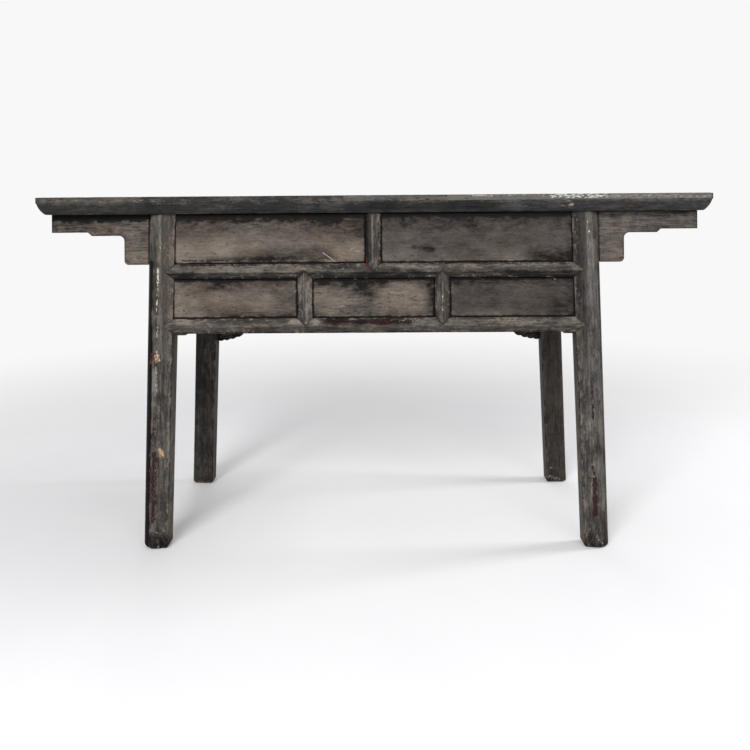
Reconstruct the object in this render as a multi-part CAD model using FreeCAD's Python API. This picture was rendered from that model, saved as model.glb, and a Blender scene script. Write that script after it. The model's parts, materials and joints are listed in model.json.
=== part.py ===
import FreeCAD, Part
import math
import os

# Chinese altar table with two upper and three lower drawers, in millimetres.
# X runs along the table, Y from front (negative) to back, Z up from the floor.
# The origin lies on the floor under the middle of the table.

# Overall size
table_length = 1652.0
table_depth = 540.0
table_height = 864.0

# Tabletop: mitred frame with a moulded edge, floating panel and battens
top_thickness = 42.0
edge_band = 15.0
edge_quirk = 2.0
edge_inset = 22.0
edge_bulge = 3.0
top_corner_radius = 30.0
frame_member_width = 95.0
mitre_tenon_length = 34.0
mitre_tenon_width = 36.0
mitre_tenon_thickness = 12.0
panel_thickness = 16.0
panel_tongue = 10.0
panel_tongue_thickness = 8.0
panel_tongue_drop = 6.0
panel_gap = 0.6
batten_width = 46.0
batten_share = 0.867
batten_key_height = 5.0
batten_key_base = 26.0
batten_key_top = 34.0
batten_tenon_length = 16.0
batten_tenon_width = 30.0
batten_tenon_height = 12.0

# Legs: inner edge square, outer edge round, with a long worn ridge in front
front_overhang = 28.0
end_overhang = 340.8
leg_width_top = 68.0
leg_width_foot = 62.0
leg_depth = 48.0
foot_spread = 20.0
foot_chamfer = 5.0
foot_inset = 3.0
ridge_rise = 4.5
leg_ridge_share = 0.47
leg_round_depth = 20.0
leg_back_round = 14.0
leg_tenon_width = 40.0
leg_tenon_thickness = 22.0
leg_tenon_height = 26.0

# Front rails and dividers with a raised centre ridge and pointed shoulders
rail_height = 37.0
rail_depth = 32.0
rail_ridge_rise = 3.4
upper_opening_height = 123.5
lower_opening_height = 97.0
divider_width = 36.0
lower_divider_share = 0.347
point_thickness = 10.0
rail_tenon_length = 24.0
rail_tenon_height = 24.0
rail_tenon_thickness = 12.0
rail_tenon_setback = 14.0
divider_tenon_length = 9.0
divider_tenon_width = 22.0
divider_tenon_thickness = 8.0
divider_tenon_setback = 12.0

# Wings under the overhanging ends, and the aprons across the ends
wing_thickness = 20.0
wing_setback = 14.0
wing_end_inset = 31.0
wing_outer_drop = 44.5
wing_inner_drop = 53.0
wing_end_length = 94.0
wing_step_run = 9.0
wing_step_round = 3.0
wing_head_width = 59.5
wing_head_drop = 125.0
wing_hollow_radius = 13.0
wing_toe_radius = 11.0
wing_tongue = 9.0
wing_tongue_thickness = 8.0

# Sides and back of the drawer case
side_rail_thickness = 30.0
side_top_rail_height = 38.0
side_bottom_rail_height = 42.0
side_bottom_rail_drop = 5.0
side_tenon_length = 14.0
side_tenon_thickness = 12.0
side_tenon_shoulder = 8.0
board_thickness = 10.0
board_groove = 8.0
back_board_setback = 10.0
bracket_thickness = 16.0
bracket_setback = 6.0
bracket_drop = 92.0
bracket_lobe_width = 19.0
bracket_lobe_sag = 3.6
bracket_lobe_rise = 17.0
bracket_lobes = 4
bracket_length = 142.0
bracket_curl_radius = 26.0

# Runners and guides inside the case
runner_height = 22.0
runner_ledge = 16.0
outer_runner_width = 22.0
low_runner_height = 45.0
runner_gap = 0.5
runner_tenon_length = 8.0
runner_tenon_height = 11.0
runner_tenon_inset = 4.0
runner_tenon_drop = 9.0
guide_height = 16.0

# Drawers
drawer_recess = 1.5
drawer_gap = 1.0
drawer_top_gap = 1.5
drawer_front_thickness = 20.0
drawer_lip = 7.0
drawer_side_inset = 2.0
drawer_side_thickness = 12.0
drawer_side_drop = 12.0
drawer_back_thickness = 12.0
drawer_back_clearance = 20.0
drawer_bottom_thickness = 7.0
drawer_bottom_lift = 8.0
drawer_groove = 5.0
upper_tails = 3
lower_tails = 2
tail_root_share = 0.25
tail_end_share = 0.35

# Fits: slack all round a tenon or tongue, and how far cuts run past a face
fit = 0.2
overrun = 5.0

# Levels and planes worked out from the sizes above
underside = table_height - top_thickness
back_plane = table_depth / 2 - front_overhang
front_plane = -back_plane
leg_clear_half = table_length / 2 - end_overhang
middle_rail_top = underside - upper_opening_height
middle_rail_base = middle_rail_top - rail_height
bottom_rail_top = middle_rail_base - lower_opening_height
bottom_rail_base = bottom_rail_top - rail_height
lower_divider_offset = leg_clear_half * lower_divider_share
batten_spacing = leg_clear_half * batten_share
side_bottom_rail_base = bottom_rail_base - side_bottom_rail_drop
wing_reach = table_length / 2 - wing_end_inset
wing_step_place = wing_reach - wing_end_length
opening_edge_plane = front_plane + ridge_rise
rail_ridge_plane = opening_edge_plane - rail_ridge_rise
leg_back_face = front_plane + leg_depth
rail_back_face = front_plane + rail_depth
panel_base = table_height - panel_thickness
inner_half_length = table_length / 2 - frame_member_width
inner_half_depth = table_depth / 2 - frame_member_width


def point(x, y, z):
    return FreeCAD.Vector(x, y, z)


def block(x0, x1, y0, y1, z0, z1):
    """A square-cornered block between two corners."""
    return Part.makeBox(x1 - x0, y1 - y0, z1 - z0, point(x0, y0, z0))


def slab(points, run):
    """A polygon pushed along a vector."""
    wire = Part.makePolygon(points + points[:1])
    return Part.Face(wire).extrude(run)


def upright(outline, y0, y1):
    """An outline of (x, z) corners pushed from y0 to y1."""
    return slab([point(x, y0, z) for x, z in outline], point(0, y1 - y0, 0))


def join(shapes):
    """One solid from pieces that touch or overlap."""
    whole = shapes[0]
    for shape in shapes[1:]:
        whole = whole.fuse(shape)
    return whole.removeSplitter()


def cut_all(shape, cutters):
    for cutter in cutters:
        shape = shape.cut(cutter)
    return shape


def mirror_x(shape):
    return shape.mirror(point(0, 0, 0), point(1, 0, 0))


def mirror_y(shape):
    return shape.mirror(point(0, 0, 0), point(0, 1, 0))


def grown(x0, x1, y0, y1, z0, z1):
    """The same block with the fit's slack added on every side."""
    return block(x0 - fit, x1 + fit, y0 - fit, y1 + fit, z0 - fit, z1 + fit)


def rounded_outline(corners):
    """A closed wire in the XZ plane from (x, z, radius) corners."""
    edges = []
    ends = []
    for index, (x, z, radius) in enumerate(corners):
        here = point(x, 0, z)
        before = point(corners[index - 1][0], 0, corners[index - 1][1])
        following = corners[(index + 1) % len(corners)]
        after = point(following[0], 0, following[1])
        if radius == 0:
            ends.append((here, here))
            continue
        back = (before - here).normalize()
        ahead = (after - here).normalize()
        half = back.getAngle(ahead) / 2
        start = here + back * (radius / math.tan(half))
        end = here + ahead * (radius / math.tan(half))
        centre = here + (back + ahead).normalize() * (radius / math.sin(half))
        middle = centre + (here - centre).normalize() * radius
        edges.append(Part.Arc(start, middle, end).toShape())
        ends.append((start, end))
    for index, (start, end) in enumerate(ends):
        next_start = ends[(index + 1) % len(ends)][0]
        if (next_start - end).Length > 0:
            edges.append(Part.LineSegment(end, next_start).toShape())
    return Part.Wire(Part.__sortEdges__(edges))


def pushed_back(wire, y0, y1):
    """A wire in the XZ plane pushed from y0 to y1."""
    face = Part.Face(wire)
    face.translate(point(0, y0, 0))
    return face.extrude(point(0, y1 - y0, 0))


def leg_outer(z):
    """Outer edge of the legs at a height, from the table's middle."""
    return leg_clear_half + leg_width_top + foot_spread * (underside - z) / underside


def leg_inner(z):
    """Inner edge of the legs at a height, from the table's middle."""
    taper = (leg_width_top - leg_width_foot) * (underside - z) / underside
    return leg_outer(z) - leg_width_top + taper


def leg_centre(z):
    return (leg_inner(z) + leg_outer(z)) / 2


def leg_ridge(z):
    """Where the ridge on the leg's face runs."""
    return leg_inner(z) + (leg_outer(z) - leg_inner(z)) * leg_ridge_share


def opening_outline(z0, z1, inset):
    """Corners of the space between the legs, drawn in by an inset."""
    low = leg_inner(z0) - inset
    high = leg_inner(z1) - inset
    return [(-low, z0), (low, z0), (high, z1), (-high, z1)]


def leg_section(z, inset):
    """Closed section of the right front leg, level, at a height."""
    inner = leg_inner(z) + inset
    outer = leg_outer(z) - inset
    front = front_plane + inset
    back = leg_back_face - inset
    ridge = leg_ridge(z)
    turn = math.sqrt(1 / 2)
    front_turn = point(ridge + (outer - ridge) * turn, front + leg_round_depth * (1 - turn), z)
    back_turn = point(
        outer - leg_back_round * (1 - turn),
        back - leg_back_round * (1 - turn),
        z,
    )
    a = point(inner, front + ridge_rise, z)
    b = point(ridge, front, z)
    c = point(outer, front + leg_round_depth, z)
    d = point(outer, back - leg_back_round, z)
    e = point(outer - leg_back_round, back, z)
    f = point(inner, back, z)
    edges = [
        Part.LineSegment(a, b).toShape(),
        Part.Arc(b, front_turn, c).toShape(),
        Part.LineSegment(c, d).toShape(),
        Part.Arc(d, back_turn, e).toShape(),
        Part.LineSegment(e, f).toShape(),
        Part.LineSegment(f, a).toShape(),
    ]
    return Part.Wire(edges)


def leg_tenon_block(make):
    centre_x = leg_centre(underside)
    centre_y = front_plane + leg_depth / 2
    return make(
        centre_x - leg_tenon_width / 2,
        centre_x + leg_tenon_width / 2,
        centre_y - leg_tenon_thickness / 2,
        centre_y + leg_tenon_thickness / 2,
        underside,
        underside + leg_tenon_height,
    )


def leg_blank():
    """Right front leg before its joints are cut, with its top tenon."""
    sections = [
        leg_section(0, foot_inset),
        leg_section(foot_chamfer, 0),
        leg_section(underside, 0),
    ]
    post = Part.makeLoft(sections, True, True)
    return join([post, leg_tenon_block(block)])


def rail_tip(z):
    """Where a rail's ridge runs out on the inner bevel of the leg."""
    return leg_inner(z) + (leg_ridge(z) - leg_inner(z)) * rail_ridge_rise / ridge_rise


def pointed_outline(base):
    """Front outline of a rail: level edges with a point on each leg."""
    top = base + rail_height
    middle = base + rail_height / 2
    return [
        (-rail_tip(middle), middle),
        (-leg_inner(base), base),
        (leg_inner(base), base),
        (rail_tip(middle), middle),
        (leg_inner(top), top),
        (-leg_inner(top), top),
    ]


def rail_tenon(base, make):
    """Tenon of a front or back rail in the right leg, at the front plane."""
    middle = base + rail_height / 2
    return make(
        leg_inner(middle) - overrun,
        leg_inner(middle) + rail_tenon_length,
        front_plane + rail_tenon_setback,
        front_plane + rail_tenon_setback + rail_tenon_thickness,
        middle - rail_tenon_height / 2,
        middle + rail_tenon_height / 2,
    )


def side_slab(z0, z1, thickness, y0, y1):
    """Board or rail in a side of the case, leaning with the legs."""
    half = thickness / 2
    outline = [
        (leg_centre(z0) - half, z0),
        (leg_centre(z0) + half, z0),
        (leg_centre(z1) + half, z1),
        (leg_centre(z1) - half, z1),
    ]
    return upright(outline, y0, y1)


def side_rail_levels():
    """Bottom and top of each side rail, lower one first."""
    return [
        (side_bottom_rail_base, side_bottom_rail_base + side_bottom_rail_height),
        (underside - side_top_rail_height, underside),
    ]


def side_tenon(z0, z1, slack):
    """Tenons of one side rail, running into the front and back legs."""
    reach = -leg_back_face + side_tenon_length + slack
    return side_slab(
        z0 + side_tenon_shoulder - slack,
        z1 - side_tenon_shoulder + slack,
        side_tenon_thickness + slack * 2,
        -reach,
        reach,
    )


def side_panel_levels():
    low = side_bottom_rail_base + side_bottom_rail_height - board_groove
    high = underside - side_top_rail_height + board_groove
    return low, high


def wing_tongue_outline(slack):
    """Tongue of a wing in the groove on the leg's outer face."""
    base = underside - wing_head_drop
    return [
        (leg_outer(base) - wing_tongue - slack, base - slack),
        (leg_outer(base) + wing_tongue, base - slack),
        (leg_outer(underside) + wing_tongue, underside),
        (leg_outer(underside) - wing_tongue - slack, underside),
    ]


def wing_tongue_faces(slack):
    middle = front_plane + wing_setback + wing_thickness / 2
    half = wing_tongue_thickness / 2 + slack
    return middle - half, middle + half


def back_board_faces():
    """Front and back face of the boards that close the back."""
    face = back_plane - back_board_setback
    return face - board_thickness, face


def back_groove(z0, z1):
    """Groove for the back boards in the inner face of the right leg."""
    y0, y1 = back_board_faces()
    deep = board_groove + fit
    outline = [
        (leg_inner(z0) - overrun, z0),
        (leg_inner(z0) + deep, z0),
        (leg_inner(z1) + deep, z1),
        (leg_inner(z1) - overrun, z1),
    ]
    return upright(outline, y0 - fit, y1 + fit)


def leg_joints():
    """Cuts that front and back legs share, for the right front leg."""
    wing_y0, wing_y1 = wing_tongue_faces(fit)
    cuts = [upright(wing_tongue_outline(fit), wing_y0, wing_y1)]
    for z0, z1 in side_rail_levels():
        cuts.append(side_tenon(z0, z1, fit))
    low, high = side_panel_levels()
    reach = -leg_back_face + board_groove + fit
    cuts.append(side_slab(low, high, board_thickness + fit * 2, -reach, reach))
    for base in (bottom_rail_base, middle_rail_base):
        cuts.append(rail_tenon(base, grown))
    return cuts


def front_leg():
    """Right front leg, with pointed notches for the rails' shoulders."""
    leg = cut_all(leg_blank(), leg_joints())
    for base in (bottom_rail_base, middle_rail_base):
        notch = upright(
            pointed_outline(base),
            front_plane - overrun,
            front_plane + point_thickness,
        )
        leg = leg.cut(notch)
    return leg


def back_leg():
    """Right back leg, with a groove for the back boards."""
    leg = mirror_y(cut_all(leg_blank(), leg_joints()))
    return leg.cut(back_groove(bottom_rail_top - board_groove, underside))


def make_legs():
    front = front_leg()
    back = back_leg()
    return {
        "leg_front_right": front,
        "leg_front_left": mirror_x(front),
        "leg_back_right": back,
        "leg_back_left": mirror_x(back),
    }


def ridged_bar(length):
    """Bar along X with a ridge down the middle of its face, base at zero."""
    section = [
        point(-length / 2, rail_back_face, 0),
        point(-length / 2, opening_edge_plane, 0),
        point(-length / 2, rail_ridge_plane, rail_height / 2),
        point(-length / 2, opening_edge_plane, rail_height),
        point(-length / 2, rail_back_face, rail_height),
    ]
    return slab(section, point(length, 0, 0))


def divider_point(centre, edge_z, way):
    """Notch that takes the pointed end of a divider in a rail's face."""
    tip = edge_z + way * rail_height / 2
    outline = [
        (centre - divider_width / 2, edge_z),
        (centre + divider_width / 2, edge_z),
        (centre, tip),
    ]
    return upright(outline, front_plane - overrun, front_plane + point_thickness)


def divider_tenon(centre, edge_z, way, make):
    """Stub tenon of a divider behind its point, into a rail."""
    y0 = front_plane + divider_tenon_setback
    y1 = y0 + divider_tenon_thickness
    z0, z1 = sorted((edge_z, edge_z + way * divider_tenon_length))
    half = divider_tenon_width / 2
    return make(centre - half, centre + half, y0, y1, z0, z1)


def divider_seats(base):
    """Where dividers stand on or hang from a front rail."""
    lower = [-lower_divider_offset, lower_divider_offset]
    if base == bottom_rail_base:
        return [(centre, bottom_rail_top, -1) for centre in lower]
    seats = [(centre, middle_rail_base, 1) for centre in lower]
    return seats + [(0, middle_rail_top, -1)]


def runner_tenon(x0, x1, top, make):
    """Front tenon of a runner, reaching into the back of a front rail."""
    high = top - runner_tenon_drop
    return make(
        x0 + runner_tenon_inset,
        x1 - runner_tenon_inset,
        rail_back_face - runner_tenon_length,
        rail_back_face + overrun,
        high - runner_tenon_height,
        high,
    )


def lower_runner_spans():
    """Left and right edge and height of each runner under the lower drawers."""
    shared = divider_width / 2 + runner_ledge
    outer = leg_inner(bottom_rail_top) - runner_gap
    spans = []
    for side in (-1, 1):
        centre = side * lower_divider_offset
        spans.append((centre - shared, centre + shared, runner_height))
        x0, x1 = sorted((side * outer, side * (outer - outer_runner_width)))
        spans.append((x0, x1, low_runner_height))
    return spans


def upper_runner_spans():
    shared = divider_width / 2 + runner_ledge
    outer = leg_inner(middle_rail_top) - runner_gap
    inner = outer - outer_runner_width
    return [
        (-shared, shared, runner_height),
        (-outer, -inner, runner_height),
        (inner, outer, runner_height),
    ]


def runner_mortises(spans, top):
    """Mortises in the back of a front rail."""
    return [runner_tenon(x0, x1, top, grown) for x0, x1, height in spans]


def front_rail(base):
    """Front rail: ridged face, pointed shoulders on the legs, tenons."""
    bar = ridged_bar(table_length)
    bar.translate(point(0, 0, base))
    top = base + rail_height
    face = upright(pointed_outline(base), front_plane - overrun, front_plane + point_thickness)
    body = upright(opening_outline(base, top, 0), front_plane - overrun, rail_back_face)
    rail = join([bar.common(join([face, body])), rail_tenon(base, block)])
    rail = join([rail, mirror_x(rail_tenon(base, block))])
    for centre, edge_z, way in divider_seats(base):
        rail = rail.cut(divider_point(centre, edge_z, way))
        rail = rail.cut(divider_tenon(centre, edge_z, way, grown))
    return rail


def make_front_rails():
    bottom = front_rail(bottom_rail_base)
    middle = front_rail(middle_rail_base)
    return {
        "front_bottom_rail": cut_all(bottom, runner_mortises(lower_runner_spans(), bottom_rail_top)),
        "front_middle_rail": cut_all(middle, runner_mortises(upper_runner_spans(), middle_rail_top)),
    }


def divider(centre, z0, z1, pointed_top):
    """Upright between drawers, ridged like the rails, pointed onto them."""
    half = divider_width / 2
    tall = z1 - z0 + rail_height
    foot = z0 - rail_height / 2
    section = [
        point(centre - half, rail_back_face, foot),
        point(centre - half, opening_edge_plane, foot),
        point(centre, rail_ridge_plane, foot),
        point(centre + half, opening_edge_plane, foot),
        point(centre + half, rail_back_face, foot),
    ]
    bar = slab(section, point(0, 0, tall))
    outline = [(centre, foot), (centre + half, z0), (centre + half, z1)]
    if pointed_top:
        outline.append((centre, z1 + rail_height / 2))
    outline += [(centre - half, z1), (centre - half, z0)]
    face = upright(outline, front_plane - overrun, front_plane + point_thickness)
    body = block(centre - half, centre + half, front_plane - overrun, rail_back_face, z0, z1)
    shapes = [bar.common(join([face, body])), divider_tenon(centre, z0, -1, block)]
    if pointed_top:
        shapes.append(divider_tenon(centre, z1, 1, block))
    return join(shapes)


def make_dividers():
    left = divider(-lower_divider_offset, bottom_rail_top, middle_rail_base, True)
    right = divider(lower_divider_offset, bottom_rail_top, middle_rail_base, True)
    return {
        "upper_divider": divider(0, middle_rail_top, underside, False),
        "lower_divider_left": left,
        "lower_divider_right": right,
    }


def back_rail(base, groove_below, groove_above, spans):
    """Plain back rail, grooved for the boards, mortised for the runners."""
    top = base + rail_height
    body = upright(opening_outline(base, top, 0), back_plane - rail_depth, back_plane - ridge_rise)
    tenon = mirror_y(rail_tenon(base, block))
    rail = join([body, tenon, mirror_x(tenon)])
    y0, y1 = back_board_faces()
    wide = leg_inner(base) + rail_tenon_length + overrun
    if groove_below:
        rail = rail.cut(block(-wide, wide, y0 - fit, y1 + fit, base - overrun, base + board_groove + fit))
    if groove_above:
        rail = rail.cut(block(-wide, wide, y0 - fit, y1 + fit, top - board_groove - fit, top + overrun))
    for mortise in runner_mortises(spans, top):
        rail = rail.cut(mirror_y(mortise))
    return rail


def back_board(z0, z1):
    """Board held in the grooves of the back legs and rails."""
    y0, y1 = back_board_faces()
    return upright(opening_outline(z0, z1, -board_groove), y0, y1)


def back_bracket():
    """Carved corner bracket under the back rail, at the right leg."""
    top = bottom_rail_base
    low = top - bracket_drop
    start = leg_inner(low)
    places = []
    for index in range(bracket_lobes + 1):
        climb = bracket_lobe_rise * (index / bracket_lobes) ** 2
        places.append(point(start - index * bracket_lobe_width, 0, low + climb))
    edges = [Part.LineSegment(point(leg_inner(top), 0, top), places[0]).toShape()]
    for index in range(bracket_lobes):
        first = places[index]
        last = places[index + 1]
        middle = (first + last) / 2 - point(0, 0, bracket_lobe_sag)
        edges.append(Part.Arc(first, middle, last).toShape())
    curl_end = places[-1] + point(-bracket_curl_radius, 0, bracket_curl_radius)
    turn = math.sqrt(1 / 2)
    curl_middle = places[-1] + point(-bracket_curl_radius * (1 - turn), 0, bracket_curl_radius * turn)
    edges.append(Part.Arc(places[-1], curl_middle, curl_end).toShape())
    tip = point(leg_inner(top) - bracket_length, 0, top)
    swell = (curl_end + tip) / 2 - point(0, 0, bracket_lobe_sag)
    edges.append(Part.Arc(curl_end, swell, tip).toShape())
    edges.append(Part.LineSegment(tip, point(leg_inner(top), 0, top)).toShape())
    face_y = back_plane - bracket_setback - bracket_thickness
    return pushed_back(Part.Wire(edges), face_y, face_y + bracket_thickness)


def make_back():
    bracket = back_bracket()
    return {
        "back_bottom_rail": back_rail(bottom_rail_base, False, True, lower_runner_spans()),
        "back_middle_rail": back_rail(middle_rail_base, True, True, upper_runner_spans()),
        "back_board_lower": back_board(bottom_rail_top - board_groove, middle_rail_base + board_groove),
        "back_board_upper": back_board(middle_rail_top - board_groove, underside),
        "back_bracket_right": bracket,
        "back_bracket_left": mirror_x(bracket),
    }


def side_rail(z0, z1):
    """Rail between a front and a back leg, grooved for the side board."""
    body = side_slab(z0, z1, side_rail_thickness, leg_back_face, -leg_back_face)
    rail = join([body, side_tenon(z0, z1, 0)])
    low, high = side_panel_levels()
    reach = -leg_back_face + board_groove
    groove = side_slab(low - fit, high + fit, board_thickness + fit * 2, -reach, reach)
    return rail.cut(groove)


def make_sides():
    (low0, low1), (high0, high1) = side_rail_levels()
    panel_low, panel_high = side_panel_levels()
    reach = -leg_back_face + board_groove
    bottom = side_rail(low0, low1)
    top = side_rail(high0, high1)
    board = side_slab(panel_low, panel_high, board_thickness, -reach, reach)
    return {
        "side_bottom_rail_right": bottom,
        "side_bottom_rail_left": mirror_x(bottom),
        "side_top_rail_right": top,
        "side_top_rail_left": mirror_x(top),
        "side_board_right": board,
        "side_board_left": mirror_x(board),
    }


def wing_outline():
    """Stepped outline of the right wing, from the leg to its outer end."""
    outer_z = underside - wing_outer_drop
    inner_z = underside - wing_inner_drop
    head_z = underside - wing_head_drop
    head_x = leg_outer(head_z) + wing_head_width
    half_run = wing_step_run / 2
    return [
        (leg_outer(underside), underside, 0),
        (wing_reach, underside, 0),
        (wing_reach, outer_z, 0),
        (wing_step_place + half_run, outer_z, wing_step_round),
        (wing_step_place - half_run, inner_z, wing_step_round),
        (head_x, inner_z, wing_hollow_radius),
        (head_x, head_z, wing_toe_radius),
        (leg_outer(head_z), head_z, 0),
    ]


def wing_mitre():
    """Wedge outside the mitre where a wing meets the end apron."""
    face = front_plane + wing_setback
    back = face + wing_thickness
    corners = [
        point(wing_reach, face, 0),
        point(wing_reach - wing_thickness, back, 0),
        point(wing_reach - wing_thickness, back + overrun, 0),
        point(wing_reach + overrun, back + overrun, 0),
        point(wing_reach + overrun, face, 0),
    ]
    return slab(corners, point(0, 0, table_height))


def make_wings():
    """Wings tongued into the legs, mitred to the aprons across the ends."""
    face = front_plane + wing_setback
    body = pushed_back(rounded_outline(wing_outline()), face, face + wing_thickness)
    tongue_y0, tongue_y1 = wing_tongue_faces(0)
    wing = join([body, upright(wing_tongue_outline(0), tongue_y0, tongue_y1)])
    wing = wing.cut(wing_mitre())
    apron = slab(
        [
            point(wing_reach, face, underside - wing_outer_drop),
            point(wing_reach, -face, underside - wing_outer_drop),
            point(wing_reach - wing_thickness, -face - wing_thickness, underside - wing_outer_drop),
            point(wing_reach - wing_thickness, face + wing_thickness, underside - wing_outer_drop),
        ],
        point(0, 0, wing_outer_drop),
    )
    back_wing = mirror_y(wing)
    return {
        "wing_front_right": wing,
        "wing_front_left": mirror_x(wing),
        "wing_back_right": back_wing,
        "wing_back_left": mirror_x(back_wing),
        "end_apron_right": apron,
        "end_apron_left": mirror_x(apron),
    }


def top_outline():
    """Plan of the tabletop with rounded corners, at the underside."""
    half_x = table_length / 2
    half_y = table_depth / 2
    radius = top_corner_radius
    corners = [(-half_x, -half_y), (half_x, -half_y), (half_x, half_y), (-half_x, half_y)]
    wire = rounded_outline([(x, y, radius) for x, y in corners])
    wire.rotate(point(0, 0, 0), point(1, 0, 0), math.degrees(math.pi / 2))
    wire.translate(point(0, 0, underside))
    return wire


def edge_cutter(path):
    """What is planed away below the upright band all round the top."""
    front = -table_depth / 2
    band_z = table_height - edge_band
    start = point(0, front + edge_quirk, band_z)
    end = point(0, front + edge_inset, underside)
    across = (end - start).cross(point(1, 0, 0)).normalize()
    middle = (start + end) / 2 + across * edge_bulge
    if middle.y > (start.y + end.y) / 2:
        middle = (start + end) / 2 - across * edge_bulge
    low = point(0, front + edge_inset, underside - overrun)
    out_low = point(0, front - overrun, underside - overrun)
    out_high = point(0, front - overrun, band_z)
    profile = Part.Wire(
        [
            Part.Arc(start, middle, end).toShape(),
            Part.LineSegment(end, low).toShape(),
            Part.LineSegment(low, out_low).toShape(),
            Part.LineSegment(out_low, out_high).toShape(),
            Part.LineSegment(out_high, start).toShape(),
        ]
    )
    return Part.Wire(path.Edges).makePipeShell([profile], True, False)


def moulded_slab():
    """The whole top as one moulded slab, before it is divided."""
    path = top_outline()
    plain = Part.Face(path).extrude(point(0, 0, top_thickness))
    return plain.cut(edge_cutter(path))


def member_plan(along_x, side):
    """Plan of one frame member with mitred ends, wider than the slab."""
    out_x = table_length / 2
    out_y = table_depth / 2
    in_x = inner_half_length
    in_y = inner_half_depth
    if along_x:
        plan = [(-out_x, side * out_y), (out_x, side * out_y), (in_x, side * in_y), (-in_x, side * in_y)]
    else:
        plan = [(side * out_x, -out_y), (side * out_x, out_y), (side * in_x, in_y), (side * in_x, -in_y)]
    corners = [point(x, y, underside - overrun) for x, y in plan]
    return slab(corners, point(0, 0, top_thickness + overrun * 2))


def mitre_tenon(x_side, y_side, make):
    """Tenon of a long member across the mitre, into the end member."""
    centre_x = x_side * (table_length / 2 - frame_member_width / 2)
    centre_y = y_side * (table_depth / 2 - frame_member_width / 2)
    x0, x1 = sorted((centre_x - x_side * mitre_tenon_length / 2, centre_x + x_side * mitre_tenon_length / 2))
    y0 = centre_y - mitre_tenon_width / 2
    z0 = underside + (top_thickness - mitre_tenon_thickness) / 2
    return make(x0, x1, y0, y0 + mitre_tenon_width, z0, z0 + mitre_tenon_thickness)


def panel_tongue_block(slack):
    """The floating panel's tongue all round, or with slack its groove."""
    reach = panel_tongue + slack
    z1 = table_height - panel_tongue_drop
    return block(
        -inner_half_length - reach,
        inner_half_length + reach,
        -inner_half_depth - reach,
        inner_half_depth + reach,
        z1 - panel_tongue_thickness - slack,
        z1 + slack,
    )


def batten_places():
    return [-batten_spacing, 0, batten_spacing]


def batten_key(centre, y_reach):
    """Dovetail key that a batten slides into the panel with."""
    corners = [
        point(centre - batten_key_base / 2, -y_reach, panel_base),
        point(centre + batten_key_base / 2, -y_reach, panel_base),
        point(centre + batten_key_top / 2, -y_reach, panel_base + batten_key_height),
        point(centre - batten_key_top / 2, -y_reach, panel_base + batten_key_height),
    ]
    return slab(corners, point(0, y_reach * 2, 0))


def batten_tenons(centre, make):
    reach = inner_half_depth + batten_tenon_length
    middle = (underside + panel_base) / 2
    return make(
        centre - batten_tenon_width / 2,
        centre + batten_tenon_width / 2,
        -reach,
        reach,
        middle - batten_tenon_height / 2,
        middle + batten_tenon_height / 2,
    )


def batten(centre):
    body = block(
        centre - batten_width / 2,
        centre + batten_width / 2,
        -inner_half_depth,
        inner_half_depth,
        underside,
        panel_base,
    )
    key_reach = inner_half_depth - panel_gap
    return join([body, batten_tenons(centre, block), batten_key(centre, key_reach)])


def long_member(whole, side):
    """Front or back member: mitre tenons, groove, mortises for legs."""
    member = whole.common(member_plan(True, side))
    tenons = [mitre_tenon(x_side, side, block) for x_side in (-1, 1)]
    member = join([member] + tenons)
    member = member.cut(panel_tongue_block(fit))
    for centre in batten_places():
        member = member.cut(batten_tenons(centre, grown))
    mortise = leg_tenon_block(grown)
    if side > 0:
        mortise = mirror_y(mortise)
    return cut_all(member, [mortise, mirror_x(mortise)])


def end_member(whole, side):
    member = whole.common(member_plan(False, side))
    member = member.cut(panel_tongue_block(fit))
    return cut_all(member, [mitre_tenon(side, y_side, grown) for y_side in (-1, 1)])


def top_panel():
    """Floating panel, tongued all round and slotted for the battens."""
    body = block(
        -inner_half_length + panel_gap,
        inner_half_length - panel_gap,
        -inner_half_depth + panel_gap,
        inner_half_depth - panel_gap,
        panel_base,
        table_height,
    )
    panel = join([body, panel_tongue_block(0)])
    slots = [batten_key(centre, inner_half_depth) for centre in batten_places()]
    return cut_all(panel, slots)


def make_top():
    whole = moulded_slab()
    left, middle, right = [batten(centre) for centre in batten_places()]
    return {
        "top_frame_front": long_member(whole, -1),
        "top_frame_back": long_member(whole, 1),
        "top_frame_left": end_member(whole, -1),
        "top_frame_right": end_member(whole, 1),
        "top_panel": top_panel(),
        "top_batten_left": left,
        "top_batten_middle": middle,
        "top_batten_right": right,
    }


def runner(x0, x1, top, height):
    """Runner from the front rail to the back rail, tenoned into both."""
    body = block(x0, x1, rail_back_face, -rail_back_face, top - height, top)
    tenon = runner_tenon(x0, x1, top, block)
    return join([body, tenon, mirror_y(tenon)])


def guide(centre, top):
    """Strip on a shared runner that keeps two drawers apart."""
    half = divider_width / 2
    return block(centre - half, centre + half, rail_back_face, -rail_back_face, top, top + guide_height)


def make_runners():
    lower = [runner(x0, x1, bottom_rail_top, high) for x0, x1, high in lower_runner_spans()]
    upper = [runner(x0, x1, middle_rail_top, high) for x0, x1, high in upper_runner_spans()]
    guides = [guide(0, middle_rail_top)]
    for side in (-1, 1):
        guides.append(guide(side * lower_divider_offset, bottom_rail_top))
    return {
        "lower_runners": Part.makeCompound(lower),
        "upper_runners": Part.makeCompound(upper),
        "drawer_guides": Part.makeCompound(guides),
    }


def drawer_jambs(low, high, left_end, right_end):
    """Left and right edge of a drawer's opening at its foot and head.

    An end given as None is a leg, whose inner edge leans.
    """
    lefts = [-leg_inner(z) if left_end is None else left_end for z in (low, high)]
    rights = [leg_inner(z) if right_end is None else right_end for z in (low, high)]
    return lefts, rights


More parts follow.
